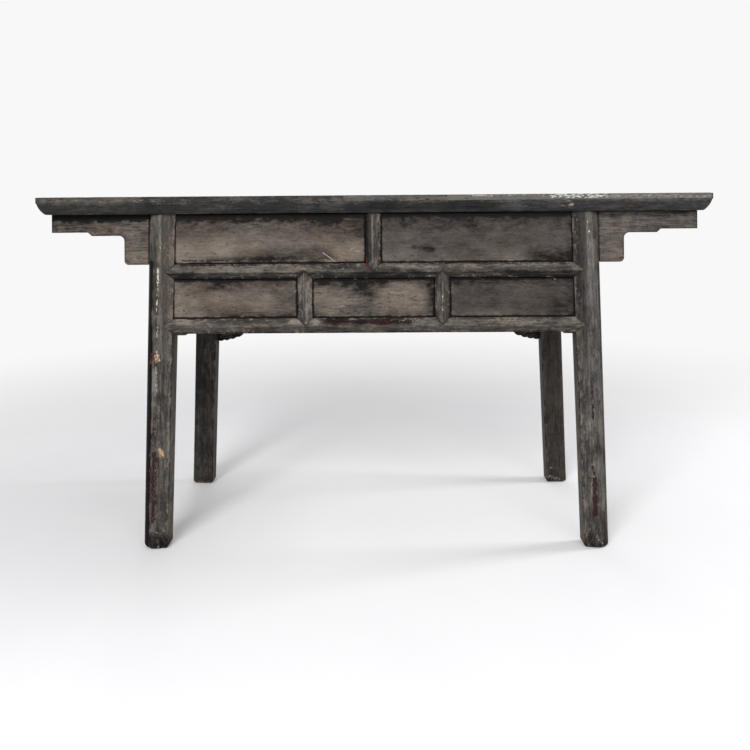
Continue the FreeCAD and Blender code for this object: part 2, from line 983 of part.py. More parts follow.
def tails(x0, x1, shoulder, tip, z0, z1, count):
    """Dovetail tails on a drawer side, from the shoulder to the tip."""
    pitch = (z1 - z0) / count
    shapes = []
    for index in range(count):
        middle = z0 + pitch * (index + 1 / 2)
        root = pitch * tail_root_share
        end = pitch * tail_end_share
        corners = [
            point(x0, shoulder, middle - root),
            point(x0, shoulder, middle + root),
            point(x0, tip, middle + end),
            point(x0, tip, middle - end),
        ]
        shapes.append(slab(corners, point(x1 - x0, 0, 0)))
    return shapes


def make_drawer(name, low, high, left_end, right_end, count):
    """Front, sides, back and bottom of one drawer, dovetailed together."""
    lefts, rights = drawer_jambs(low, high, left_end, right_end)
    face = opening_edge_plane + drawer_recess
    front_back = face + drawer_front_thickness
    end = -rail_back_face - drawer_back_clearance
    foot = low + drawer_gap
    head = high - drawer_top_gap
    outline = [
        (lefts[0] + drawer_gap, foot),
        (rights[0] - drawer_gap, foot),
        (rights[1] - drawer_gap, head),
        (lefts[1] + drawer_gap, head),
    ]
    left = max(lefts) + drawer_gap + drawer_side_inset
    right = min(rights) - drawer_gap - drawer_side_inset
    left_in = left + drawer_side_thickness
    right_in = right - drawer_side_thickness
    side_top = head - drawer_side_drop
    floor_low = low + drawer_bottom_lift
    floor_high = floor_low + drawer_bottom_thickness
    back_face = end - drawer_back_thickness

    front_tails = []
    back_tails = []
    for x0, x1 in ((left, left_in), (right_in, right)):
        front_tails.append(tails(x0, x1, front_back, face + drawer_lip, floor_high, side_top, count))
        back_tails.append(tails(x0, x1, back_face, end, floor_high, side_top, count))

    floor = block(
        left_in - drawer_groove,
        right_in + drawer_groove,
        front_back - drawer_groove,
        end,
        floor_low,
        floor_high,
    )
    front = upright(outline, face, front_back)
    beyond = table_length
    front = front.cut(block(-beyond, left, face + drawer_lip, front_back, low, high))
    front = front.cut(block(right, beyond, face + drawer_lip, front_back, low, high))
    front = cut_all(front, front_tails[0] + front_tails[1] + [floor])

    sides = []
    for index, (x0, x1) in enumerate(((left, left_in), (right_in, right))):
        board = block(x0, x1, front_back, back_face, low, side_top)
        rear = block(x0, x1, back_face, end, low, floor_high)
        side = join([board, rear] + front_tails[index] + back_tails[index])
        sides.append(side.cut(floor))

    back = block(left, right, back_face, end, floor_high, side_top)
    back = cut_all(back, back_tails[0] + back_tails[1])
    return {
        name + "_front": front,
        name + "_sides": Part.makeCompound(sides),
        name + "_back": back,
        name + "_bottom": floor,
    }


def make_drawers():
    half = divider_width / 2
    inner = lower_divider_offset - half
    outer = lower_divider_offset + half
    upper = (middle_rail_top, underside)
    lower = (bottom_rail_top, middle_rail_base)
    pieces = {}
    pieces.update(make_drawer("drawer_upper_left", *upper, None, -half, upper_tails))
    pieces.update(make_drawer("drawer_upper_right", *upper, half, None, upper_tails))
    pieces.update(make_drawer("drawer_lower_left", *lower, None, -outer, lower_tails))
    pieces.update(make_drawer("drawer_lower_middle", *lower, -inner, inner, lower_tails))
    pieces.update(make_drawer("drawer_lower_right", *lower, outer, None, lower_tails))
    return pieces


def main():
    os.makedirs("parts", exist_ok=True)
    pieces = {}
    for make in (
        make_top,
        make_legs,
        make_front_rails,
        make_dividers,
        make_wings,
        make_back,
        make_sides,
        make_runners,
        make_drawers,
    ):
        pieces.update(make())
    for node, shape in pieces.items():
        shape.exportStep("parts/" + node + ".step")
        print(node, "solids", len(shape.Solids), "valid", shape.isValid(), "volume", round(shape.Volume))


main()
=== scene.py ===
import json
import math
import random

import bmesh
import bpy
from mathutils import Matrix, Vector, kdtree, noise
from mathutils.bvhtree import BVHTree


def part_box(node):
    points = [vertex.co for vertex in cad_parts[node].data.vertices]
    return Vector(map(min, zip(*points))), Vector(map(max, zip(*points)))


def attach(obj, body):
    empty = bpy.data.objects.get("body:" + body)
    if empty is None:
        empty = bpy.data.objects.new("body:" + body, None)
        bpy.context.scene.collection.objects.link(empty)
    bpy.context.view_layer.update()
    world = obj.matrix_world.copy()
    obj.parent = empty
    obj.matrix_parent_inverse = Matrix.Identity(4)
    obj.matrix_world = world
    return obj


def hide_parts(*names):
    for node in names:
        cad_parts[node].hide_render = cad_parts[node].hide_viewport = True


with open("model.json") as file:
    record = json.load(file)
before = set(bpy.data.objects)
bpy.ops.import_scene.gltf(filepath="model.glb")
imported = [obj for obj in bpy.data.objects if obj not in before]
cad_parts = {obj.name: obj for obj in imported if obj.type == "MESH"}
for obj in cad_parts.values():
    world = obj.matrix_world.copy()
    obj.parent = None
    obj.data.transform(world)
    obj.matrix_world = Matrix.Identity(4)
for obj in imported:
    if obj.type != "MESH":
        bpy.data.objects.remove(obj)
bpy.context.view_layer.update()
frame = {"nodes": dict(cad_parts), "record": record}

bl_info = {
    "name": "Altar Table Finish",
    "version": (1, 0),
    "blender": (4, 5, 0),
    "location": "View3D > Sidebar > Altar Table",
    "description": "Aged lacquer, worn arrises and a plain studio for an altar table with five drawers",
    "category": "Object",
}

MM = 0.001
BODY_OF_NODE = {
    node: body
    for body, nodes in frame["record"]["behaviour"]["bodies"].items()
    for node in nodes
}

# In a CAD mesh, corners nearer than this are joined, and faces that meet flatter than this are one.
WELD = 0.01 * MM
FLAT_ANGLE = math.radians(0.6)
# Edges sharper than the first are arrises, and shading breaks over edges sharper than the second.
ARRIS_ANGLE = math.radians(22)
SHARP_ANGLE = math.radians(38)
# Level cuts close to a foot, in millimetres, that let it wear round.
FOOT_CUTS = (3.2, 6.8, 10.6)

# The lacquer has faded browner towards the left end and stayed bluer towards the right.
WARM_TINT = "#fff0e4"
COOL_TINT = "#e8eeff"
DEEPEST_SHADE = "#060505"
OLD_DIRT = "#131110"
WOOD_DIRT = "#2a2119"
HANDLED_WOOD = "#5a4636"
WOOD_IOR = 1.5
# A century of dust and dry wax takes most of the lacquer's shine.
LACQUER_SPECULAR = 0.06
# How far the borders of patches and marks stray, as a share of their width.
PATCH_RAGGEDNESS = 1.9
MARK_RAGGEDNESS = 1.0
# A mark is full over this share of its width and lifts the noise of its flecks by this weight.
MARK_CORE = 0.2
MARK_WEIGHT = 0.8
FLECK_BORDER = 0.04

ROOM_WHITE = "#f8f8f8"
ROOM_LEVEL = 0.4
FLOOR_SHADE = "#ececef"
FLOOR_RADIUS = 14.0
FLOOR_SIDES = 64
# The floor fades into the room between these two distances from its middle, in metres.
FLOOR_FADE = (0.8, 3.3)
LAMP_AIM = (0, 0, 0.4)
LAMPS = (
    ("front_softbox", (-1.15, -3.4, 2.5), (1.5, 1.5), 112.0),
    ("side_softbox", (3.3, 0.3, 2.1), (0.8, 0.8), 54.0),
    ("low_softbox", (1.5, -3.6, 1.5), (2.6, 1.6), 44.0),
    ("back_softbox", (-0.6, 3.4, 2.4), (2.0, 1.2), 14.0),
)
CAMERA_PLACE = (0.0522, -1.9653, 0.8017)
CAMERA_TURN = 0.0095
CAMERA_ROLL = -0.0073
CAMERA_LENS = 33.88
CAMERA_SHIFT = (-0.0169, -0.2056)


def linear(code):
    """An sRGB hex colour as Blender's linear red, green, blue and alpha."""
    channels = []
    for start in (1, 3, 5):
        value = int(code[start:start + 2], 16) / 255
        channels.append(value / 12.92 if value <= 0.04045 else ((value + 0.055) / 1.055) ** 2.4)
    return (*channels, 1.0)


def length_prop(label, words, millimetres):
    """A length, its default given in millimetres."""
    return bpy.props.FloatProperty(
        name=label, description=words, default=millimetres * MM, min=0.0, unit="LENGTH", precision=5
    )


def colour_prop(label, words, code):
    """A colour, its default given as an sRGB hex colour."""
    return bpy.props.FloatVectorProperty(
        name=label, description=words, default=linear(code), size=4, min=0.0, max=1.0, subtype="COLOR"
    )


class AltarWear(bpy.types.PropertyGroup):
    """Sizes of the hand work and wear on the wood."""

    arris: length_prop("Arris", "Width of the softened edges that hands and cloths reach", 1.7)
    joint_arris: length_prop("Joint arris", "Width of the fine edge where two pieces meet", 0.3)
    inner_arris: length_prop("Inner arris", "Width of the softened edges inside the case", 0.8)
    cut_step: length_prop("Cut step", "Distance between the cuts that let a long piece wear unevenly", 9.0)
    leg_step: length_prop("Leg step", "Distance between the cuts along and across the legs", 7.0)
    clearance: length_prop("Cut clearance", "How far a cut stays from the piece's own corners", 3.0)
    touch: length_prop("Touch", "Pieces nearer than this meet in a joint", 0.4)
    waviness: length_prop("Waviness", "How far planed faces dip between high places", 0.25)
    wave: length_prop("Wave", "Distance from one dip in a planed face to the next", 70.0)
    dent: length_prop("Dent", "Depth of the deepest small dents along an arris", 0.9)
    dent_size: length_prop("Dent size", "Length of the small dents along an arris", 11.0)
    wear_reach: length_prop("Wear reach", "How far from an arris its wear shows", 7.0)
    # Near joints the dirt also stands for painted shade where the pieces meet.
    seam_reach: length_prop("Seam reach", "How far from a joint its dirt shows", 6.0)


class AltarColours(bpy.types.PropertyGroup):
    """Colours of the lacquers, the woods under them and the floor."""

    frame_dark: colour_prop("Frame dark", "Lacquer of legs and rails where it is deepest", "#141312")
    frame_mid: colour_prop("Frame middle", "Lacquer of legs and rails", "#3c3936")
    frame_light: colour_prop("Frame light", "Lacquer of legs and rails where it is rubbed", "#69645e")
    # The drawers' darkest tones also carry the painted shade of their gaps and the painted shadow under the
    # top.
    drawer_dark: colour_prop("Drawer dark", "Old dirt on the drawer fronts", "#161413")
    drawer_mid: colour_prop("Drawer middle", "Faded lacquer of the drawer fronts", "#4b4540")
    drawer_light: colour_prop("Drawer light", "Drawer fronts where hands rubbed them pale", "#716960")
    top_dark: colour_prop("Top dark", "Lacquer of the top where it is deepest", "#121212")
    top_mid: colour_prop("Top middle", "Lacquer of the top", "#2e2d2c")
    top_light: colour_prop("Top light", "Lacquer of the top where it is rubbed", "#57544f")
    back_dark: colour_prop("Back dark", "Thin lacquer on the back where it is deepest", "#0d0c0c")
    back_mid: colour_prop("Back middle", "Thin lacquer on the back", "#1f1d1b")
    back_light: colour_prop("Back light", "Thin lacquer on the back where wood shows through", "#3f3a35")
    maroon: colour_prop("Maroon", "First coat under the black lacquer", "#2a1615")
    chip: colour_prop("Chip", "Bare wood in a fresh chip", "#a58b72")
    rubbed: colour_prop("Rubbed", "Bare weathered wood on a rubbed arris", "#7a6e61")
    dust: colour_prop("Dust", "Pale filler and dust in small pits", "#b9b6b0")
    wood_dark: colour_prop("Wood dark", "Late wood and dirt of the bare boards inside", "#4b3a2a")
    wood_light: colour_prop("Wood light", "Early wood of the bare boards inside", "#8f7455")
    floor: colour_prop("Floor", "Pale studio floor", "#f3f3f5")


def settings():
    return bpy.context.scene.altar_wear


def colours():
    return bpy.context.scene.altar_colours


def tones(lacquer):
    """Dark, middle and light tone of the frame, drawer, top or back lacquer."""
    shades = colours()
    return [getattr(shades, lacquer + "_" + depth) for depth in ("dark", "mid", "light")]


def add(tree, kind, links=None, **values):
    """Adds one node. values are its settings, links its sockets' values or the sockets they come from."""
    node = tree.nodes.new(kind)
    for name, value in values.items():
        setattr(node, name, value)
    for socket, value in (links or {}).items():
        if isinstance(value, bpy.types.NodeSocket):
            tree.links.new(value, node.inputs[socket])
        else:
            node.inputs[socket].default_value = value
    return node


def blank_material(name):
    """A material with only a principled surface, and its tree and surface node."""
    material = bpy.data.materials.new(name)
    material.use_nodes = True
    tree = material.node_tree
    tree.nodes.clear()
    surface = add(tree, "ShaderNodeBsdfPrincipled")
    add(tree, "ShaderNodeOutputMaterial", {"Surface": surface.outputs["BSDF"]})
    return material, tree, surface


def worn_stroke():
    """Node group: a stroke between two places, 1 along its core and 0 past its ragged border."""
    known = bpy.data.node_groups.get("worn_stroke")
    if known:
        return known
    group = bpy.data.node_groups.new("worn_stroke", "ShaderNodeTree")
    inputs = {"Vector": ("Place", "Start", "End"), "Float": ("Width", "Core", "Raggedness", "Noise")}
    for kind, labels in inputs.items():
        for label in labels:
            group.interface.new_socket(label, in_out="INPUT", socket_type="NodeSocket" + kind)
    group.interface.new_socket("Mask", in_out="OUTPUT", socket_type="NodeSocketFloat")
    given = add(group, "NodeGroupInput").outputs
    number, vector = "ShaderNodeMath", "ShaderNodeVectorMath"
    line = add(group, vector, {0: given["End"], 1: given["Start"]}, operation="SUBTRACT").outputs[0]
    arm = add(group, vector, {0: given["Place"], 1: given["Start"]}, operation="SUBTRACT").outputs[0]
    along = add(group, vector, {0: arm, 1: line}, operation="DOT_PRODUCT").outputs["Value"]
    square = add(group, vector, {0: line, 1: line}, operation="DOT_PRODUCT").outputs["Value"]
    share = add(group, number, {0: along, 1: square}, operation="DIVIDE", use_clamp=True).outputs[0]
    nearest = add(group, vector, {0: line, "Scale": share}, operation="SCALE").outputs[0]
    gap = add(group, vector, {0: arm, 1: nearest}, operation="SUBTRACT").outputs[0]
    distance = add(group, vector, {0: gap}, operation="LENGTH").outputs["Value"]
    relative = add(group, number, {0: distance, 1: given["Width"]}, operation="DIVIDE").outputs[0]
    centred = add(group, number, {0: given["Noise"], 1: 0.5}, operation="SUBTRACT").outputs[0]
    strayed = {0: centred, 1: given["Raggedness"], 2: relative}
    ragged = add(group, number, strayed, operation="MULTIPLY_ADD").outputs[0]
    fade = {"Value": ragged, "From Min": given["Core"], "From Max": 1.0, "To Min": 1.0, "To Max": 0.0}
    mask = add(group, "ShaderNodeMapRange", fade, interpolation_type="SMOOTHSTEP").outputs["Result"]
    add(group, "NodeGroupOutput", {"Mask": mask})
    return group


def stroke(tree, place, start, end, width, core, raggedness, border):
    """One worn stroke's mask. Its places and width are in millimetres."""
    line = {"Place": place, "Start": Vector(start) * MM, "End": Vector(end) * MM}
    edge = {"Width": width * MM, "Core": core, "Raggedness": raggedness, "Noise": border}
    return add(tree, "ShaderNodeGroup", {**line, **edge}, node_tree=worn_stroke()).outputs["Mask"]


def layered(tree, colour, layers):
    """A colour with the paint of each (mask, paint) laid over it in turn."""
    for mask, paint in layers:
        sockets = {0: mask, 6: colour, 7: paint}
        colour = add(tree, "ShaderNodeMix", sockets, data_type="RGBA").outputs[2]
    return colour


def mask_above(tree, value, start, full, most=1.0):
    """0 where a value is under its start, rising smoothly to most where it is full."""
    sockets = {"Value": value, "From Min": start, "From Max": full, "To Max": most}
    return add(tree, "ShaderNodeMapRange", sockets, interpolation_type="SMOOTHSTEP").outputs["Result"]


def grained(tree, place, grain, along, across, detail, roughness=0.6, distortion=0.0):
    """Noise whose features have a real size in millimetres, long along the grain."""
    scale = [1 / ((along if axis == grain else across) * MM) for axis in "xyz"]
    mapped = add(tree, "ShaderNodeMapping", {"Vector": place, "Scale": scale}).outputs[0]
    sockets = {"Vector": mapped, "Scale": 1.0, "Detail": detail, "Roughness": roughness}
    return add(tree, "ShaderNodeTexNoise", {**sockets, "Distortion": distortion}).outputs["Fac"]


def weighted(tree, base, parts):
    """A base value plus each (value, weight)."""
    total = base
    for value, weight in parts:
        sockets = {0: value, 1: weight, 2: total}
        total = add(tree, "ShaderNodeMath", sockets, operation="MULTIPLY_ADD").outputs[0]
    return total


def swung(tree, base, parts):
    """A base value that noises swing up and down, each (noise, weight)."""
    return weighted(tree, base - sum(weight for _, weight in parts) / 2, parts)


def wood_readings(tree):
    """A piece's own place, its place in its own board, and how near an arris and a joint are."""
    own = add(tree, "ShaderNodeTexCoord").outputs["Object"]
    labels = ("board", "arris", "seam")
    board, arris, seam = (add(tree, "ShaderNodeAttribute", attribute_name=label).outputs for label in labels)
    place = add(tree, "ShaderNodeVectorMath", {0: own, 1: board["Vector"]}, operation="ADD").outputs[0]
    return own, place, arris["Fac"], seam["Fac"]


def finish_wood(tree, surface, colour, roughness, depth, relief):
    """Links colour, roughness and relief. The relief is in millimetres, and its strength is the same."""
    bump = add(tree, "ShaderNodeBump", {"Strength": relief, "Distance": relief * MM, "Height": depth})
    tree.links.new(colour, surface.inputs["Base Color"])
    tree.links.new(roughness, surface.inputs["Roughness"])
    tree.links.new(bump.outputs["Normal"], surface.inputs["Normal"])
    surface.inputs["IOR"].default_value = WOOD_IOR


def aged_lacquer(
    name, lacquer, grain, lift=0.0, patches=(), marks=(), rubbing=0.5, chipping=0.85, arris_shade=0.0,
    mottle=1.0, lines=1.0, tint=WARM_TINT,
):
    """Black lacquer over a maroon coat on elm, hand rubbed and a century old.

    It looks smoky and satin: soft darker and paler clouds along the grain, fine
    brushed streaks, pits with pale dust, and arrises worn to maroon and bare wood.
    Lift makes it paler all over, mottle and lines weigh its clouds and streaks, and rubbing and
    chipping its pale rubs and maroon chips. The edge weight lays a painted shade along its arrises,
    and many of its patches are painted shade, painted shadow and painted light.
    """
    shades = colours()
    dark, middle, light = tones(lacquer)
    material, tree, surface = blank_material(name)
    own, place, arris, seam = wood_readings(tree)

    clouds = grained(tree, place, grain, 130, 50, 4.0, 0.55, 0.6)
    smudges = grained(tree, place, grain, 30, 15, 5.0, 0.68, 0.5)
    streaks = grained(tree, place, grain, 60, 4.2, 4.0)
    # Real brush lines are finer than half a millimetre; 1.8 mm is the finest that shows.
    brush = grained(tree, place, grain, 24, 1.8, 2.0)
    grit = grained(tree, place, grain, 6.5, 3.4, 3.0)
    scuffs = grained(tree, place, grain, 17, 4.4, 4.0, 0.7, 0.4)

    clouding = [(clouds, 0.8 * mottle), (smudges, 0.9 * mottle)]
    brushing = [(streaks, 0.8 * mottle * lines), (brush, 0.5 * mottle * lines), (grit, 0.4 * mottle)]
    tone = swung(tree, 0.5 + lift, clouding + brushing)
    border = weighted(tree, 0.0, [(smudges, 0.6), (scuffs, 0.4)])
    # Patches darken and pale the tone in places: darker and paler lacquer, and painted shade, shadow and
    # light.
    for start, end, width, strength, core in patches:
        raggedness = PATCH_RAGGEDNESS * min(1.0, 1.0 - core)
        mask = stroke(tree, own, start, end, width, core, raggedness, border)
        tone = weighted(tree, tone, [(mask, strength)])
    # Painted shade along the arrises, as deep as the edge weight.
    tone = weighted(tree, tone, [(mask_above(tree, arris, 0.5, 1.0), -arris_shade)])

    # Half the ramp's length lies below the dark tone, so that deep shade still has its own texture.
    ramp = add(tree, "ShaderNodeValToRGB", {0: weighted(tree, 0.5, [(tone, 0.5)])})
    stops = ramp.color_ramp.elements
    stops[0].position, stops[0].color = 0.1, linear(DEEPEST_SHADE)
    stops[1].position, stops[1].color = 0.98, light
    for position, shade in ((0.55, dark), (0.75, middle)):
        stops.new(position).color = shade
    faded = mask_above(tree, grained(tree, place, grain, 120, 70, 3.0), 0.42, 0.66, 0.6)
    sockets = {0: faded, 6: ramp.outputs["Color"], 7: linear(tint)}
    colour = add(tree, "ShaderNodeMix", sockets, data_type="RGBA", blend_type="MULTIPLY").outputs[2]

    dark_scuffs = mask_above(tree, scuffs, 0.57, 0.66, 0.6)
    # Where the tone is deep, from darker lacquer and from painted shade, less pale wear shows.
    pale_scuffs = weighted(tree, 0.93, [(scuffs, -1.0), (tone, 0.14)])
    pale_scuffs = mask_above(tree, pale_scuffs, 0.6, 0.7, 0.35)
    dirt = mask_above(tree, swung(tree, 0.0, [(smudges, 0.8)]), 0.0, 1.0)
    # Near a joint the dirt deepens: dirt in the joint, and painted shade where the pieces meet.
    dirt = mask_above(tree, weighted(tree, dirt, [(seam, 0.8)]), 0.3, 0.9, 0.8)
    rubbed = swung(tree, -0.2, [(smudges, 1.4), (grit, 0.9)])
    rubbed = weighted(tree, rubbed, [(arris, 0.5), (tone, 0.4)])
    rubbed = mask_above(tree, rubbed, 0.34, 0.6, rubbing)
    chipped = swung(tree, 0.0, [(scuffs, 1.5), (clouds, 0.8)])
    chipped = mask_above(tree, weighted(tree, chipped, [(arris, 0.4)]), 0.52, 0.58, chipping)
    dusty = swung(tree, 0.0, [(grit, 1.6), (smudges, 0.9)])
    dusty = mask_above(tree, weighted(tree, dusty, [(arris, 0.25)]), 0.56, 0.66, chipping * 0.6)
    # The wear over the lacquer, lowest first. The marks come on top of it.
    layers = [
        (dark_scuffs, dark),
        (pale_scuffs, light),
        (dirt, linear(OLD_DIRT)),
        (rubbed, shades.rubbed),
        (chipped, shades.maroon),
        (dusty, shades.dust),
    ]

    raised = [(streaks, 0.35), (brush, 0.25), (grit, 0.3), (smudges, 0.4)]
    depth = weighted(tree, 0.0, raised + [(chipped, -0.35), (dark_scuffs, -0.2)])
    flecks = swung(tree, 0.5, [(grained(tree, place, grain, 9.0, 3.4, 4.0, 0.7), 1.0), (smudges, 0.45)])
    for start, end, width, scarcity, paint, strength in marks:
        mask = stroke(tree, own, start, end, width, MARK_CORE, MARK_RAGGEDNESS, smudges)
        broken = weighted(tree, flecks, [(mask, MARK_WEIGHT)])
        sparse = scarcity + MARK_WEIGHT
        part = mask_above(tree, broken, sparse, sparse + FLECK_BORDER, strength)
        layers.append((part, linear(paint) if paint[0] == "#" else getattr(shades, paint)))
        depth = weighted(tree, depth, [(part, -0.3)])

    roughness = swung(tree, 0.52, [(smudges, 0.3), (grit, 0.2)])
    roughness = weighted(tree, roughness, [(dirt, 0.15)])
    finish_wood(tree, surface, layered(tree, colour, layers), roughness, depth, 0.9)
    surface.inputs["Specular IOR Level"].default_value = LACQUER_SPECULAR
    return material


def soft(start, end, width, strength):
    """A patch that fades out slowly, a little wider than the eye sees it."""
    spread, core = 1.3, -0.35
    return start, end, width * spread, strength, core


def front_bands(node, top=None, bottom=None, left=None, right=None, core=0.0):
    """Patches along the sides of a piece's front face, each given as its width and strength."""
    low, high = (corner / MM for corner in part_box(node))
    y = low.y
    corners = {
        "top": ((low.x, y, high.z), (high.x, y, high.z), top),
        "bottom": ((low.x, y, low.z), (high.x, y, low.z), bottom),
        "left": ((low.x, y, low.z), (low.x, y, high.z), left),
        "right": ((high.x, y, low.z), (high.x, y, high.z), right),
    }
    return [(start, end, *band, core) for start, end, band in corners.values() if band]


def on_face(y, strokes):
    """Strokes whose places are given by X and Z, laid on a face at one Y."""
    return [((x0, y, z0), (x1, y, z1), *rest) for (x0, z0), (x1, z1), *rest in strokes]


def bare_elm(name, grain):
    """Unfinished elm inside the case, browned by age: open grain in dark lines, dusty and matt."""
    shades = colours()
    material, tree, surface = blank_material(name)
    _, place, arris, seam = wood_readings(tree)
    rings = grained(tree, place, grain, 420, 15, 3.0, 0.5, 1.2)
    # Elm's pores are about 0.3 mm wide; 1.4 mm is the finest line that shows.
    pores = grained(tree, place, grain, 22, 1.4, 2.0)
    stain = grained(tree, place, grain, 150, 80, 4.0)
    tone = swung(tree, 0.5, [(rings, 1.1), (pores, 0.8), (stain, 0.9)])
    stained = swung(tree, 0.0, [(stain, 1.0)])
    # Near a joint the dirt deepens: dirt in the joint, and painted shade where the boards meet.
    dirt = weighted(tree, stained, [(seam, 0.7)])
    handled = weighted(tree, stained, [(arris, 0.5)])
    layers = [
        (mask_above(tree, tone, 0.15, 0.85), shades.wood_light),
        (mask_above(tree, dirt, 0.2, 0.8, 0.8), linear(WOOD_DIRT)),
        (mask_above(tree, handled, 0.3, 0.6, 0.5), linear(HANDLED_WOOD)),
    ]
    colour = layered(tree, shades.wood_dark, layers)
    depth = weighted(tree, 0.0, [(pores, 0.6), (rings, 0.3)])
    finish_wood(tree, surface, colour, weighted(tree, 0.62, [(pores, 0.2)]), depth, 0.5)
    return material


def node_surface(node):
    """A CAD node's surface as one mesh, with its flat faces whole again."""
    solid = bmesh.new()
    solid.from_mesh(frame["nodes"][node].data)
    bmesh.ops.remove_doubles(solid, verts=solid.verts, dist=WELD)
    bmesh.ops.dissolve_limit(solid, angle_limit=FLAT_ANGLE, verts=solid.verts, edges=solid.edges)
    return solid


def neighbours_of(node):
    """Search trees of the nodes whose boxes meet this one's."""
    reach = Vector((1, 1, 1)) * MM
    low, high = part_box(node)
    found = []
    for other, thing in frame["nodes"].items():
        if other == node:
            continue
        other_low, other_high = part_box(other)
        if all(other_low[i] <= high[i] + reach[i] and other_high[i] >= low[i] - reach[i] for i in range(3)):
            corners = [v.co for v in thing.data.vertices]
            faces = [list(face.vertices) for face in thing.data.polygons]
            found.append(BVHTree.FromPolygons(corners, faces))
    return found


def cut_places(low, high, step, features, clearance):
    """Even places between two ends, and one close to each end, that stay clear of a piece's own corners."""
    close = clearance * 1.5
    count = max(1, round((high - low) / step))
    places = [low + (high - low) * index / count for index in range(1, count)]
    places = [place for place in places if low + 2 * close < place < high - 2 * close]
    if high - low > 4 * close:
        places += [low + close, high - close]
    return [place for place in places if min(abs(place - own) for own in features) > clearance]


def slice_at(solid, origin, normal):
    """Cuts a piece's skin along one plane."""
    whole = solid.verts[:] + solid.edges[:] + solid.faces[:]
    bmesh.ops.bisect_plane(solid, geom=whole, dist=0.001 * MM, plane_co=origin, plane_no=normal)


def slice_evenly(solid, steps, clearance):
    """Cuts a piece across X, Y and Z, so that it can wear unevenly. A step of 0 leaves an axis out."""
    for axis, step in enumerate(steps):
        if not step:
            continue
        features = sorted({round(v.co[axis], 5) for v in solid.verts})
        normal = Vector((0, 0, 0))
        normal[axis] = 1
        for place in cut_places(features[0], features[-1], step, features, clearance):
            slice_at(solid, normal * place, normal)


def leg_edges(solid, low, high):
    """Inner and outer edge of a leg at two heights, as (z, inner, outer)."""
    lines = []
    for z in (low, high):
        ring = [abs(v.co.x) for v in solid.verts if abs(v.co.z - z) < 0.05 * MM]
        lines.append((z, min(ring), max(ring)))
    return lines


def slice_leg(solid, side, step, clearance):
    """Cuts that lean with the leg, then level cuts from foot to top."""
    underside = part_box("top_frame_front")[0].z
    rings = sorted({round(v.co.z, 5) for v in solid.verts if v.co.z > 0.1 * MM})
    (z0, in0, out0), (z1, in1, out1) = leg_edges(solid, rings[0], underside)

    def share_of(corner):
        part = (corner.z - z0) / (z1 - z0)
        inner = in0 + (in1 - in0) * part
        outer = out0 + (out1 - out0) * part
        return (abs(corner.x) - inner) / (outer - inner)

    width = out1 - in1
    features = [share_of(v.co) for v in solid.verts if v.co.z <= underside]
    for share in cut_places(0.0, 1.0, step / width, features, clearance / width):
        foot = Vector((side * (in0 + (out0 - in0) * share), 0, z0))
        head = Vector((side * (in1 + (out1 - in1) * share), 0, z1))
        slice_at(solid, foot, (head - foot).cross(Vector((0, 1, 0))).normalized())
    for height in FOOT_CUTS:
        slice_at(solid, Vector((0, 0, height * MM)), Vector((0, 0, 1)))
    slice_evenly(solid, (0, step, step), clearance)


def mark_edges(solid, near, arris, joint_arris, touch):
    """Bevel weights: full on the arrises that stand free, fine where another piece meets."""
    widest = arris * 1.6
    sample_step, uneven_length = 3 * MM, 14 * MM
    weight = solid.edges.layers.float.new("bevel_weight_edge")
    free, joints = [], []
    for edge in solid.edges:
        if len(edge.link_faces) != 2 or edge.calc_face_angle(0) < ARRIS_ANGLE:
            continue
        first, last = edge.verts[0].co, edge.verts[1].co
        middle = (first + last) / 2
        meets = any(tree.find_nearest(middle, touch)[0] for tree in near)
        samples = joints if meets else free
        count = max(1, int((last - first).length / sample_step))
        samples.extend(first.lerp(last, index / count) for index in range(count + 1))
        if not edge.is_convex:
            continue
        if meets:
            edge[weight] = joint_arris / widest
        else:
            uneven = 0.5 + 0.5 * noise.noise(middle / uneven_length)
            edge[weight] = (arris * (0.65 + 0.5 * uneven)) / widest
    return widest, free, joints


def beveled(solid, width):
    """The mesh with its weighted edges softened."""
    rough = bpy.data.meshes.new("rough")
    solid.to_mesh(rough)
    solid.free()
    holder = bpy.data.objects.new("rough", rough)
    bpy.context.scene.collection.objects.link(holder)
    bevel = holder.modifiers.new("arris", "BEVEL")
    bevel.width = width
    bevel.segments = 2
    bevel.limit_method = "WEIGHT"
    bevel.use_clamp_overlap = False
    bevel.miter_outer = "MITER_SHARP"
    graph = bpy.context.evaluated_depsgraph_get()
    made = bpy.data.meshes.new_from_object(holder.evaluated_get(graph))
    bpy.data.objects.remove(holder)
    bpy.data.meshes.remove(rough)
    return made


def nearness(points, reach):
    """A function giving 1 on the nearest of some points and 0 at a reach from them all."""
    if not points:
        return lambda place: 0.0
    tree = kdtree.KDTree(len(points))
    for index, place in enumerate(points):
        tree.insert(place, index)
    tree.balance()
    return lambda place: max(0.0, 1.0 - tree.find(place)[2] / reach)


def wear_down(made, wear, near_arris, waviness):
    """Moves the skin inwards: planing waves all over it and small dents along its arrises."""
    ways = [vertex.normal.copy() for vertex in made.vertices]
    for vertex, way in zip(made.vertices, ways):
        place = vertex.co.copy()
        sink = waviness * (0.5 + 0.5 * noise.noise(place / wear.wave))
        bite = noise.noise(place / wear.dent_size) + 0.5 * noise.noise(place / (wear.dent_size * 0.4))
        sink += wear.dent * near_arris(place) * max(0.0, bite - 0.25)
        vertex.co = place - way * sink


def board_shift(node):
    """A far place of its own for each piece's board, so that no two pieces share their pattern."""
    seed = sum(ord(letter) * (index + 3) for index, letter in enumerate(node))
    dice = random.Random(seed)
    return [dice.uniform(-9, 9), dice.uniform(-9, 9), dice.uniform(-9, 9)]


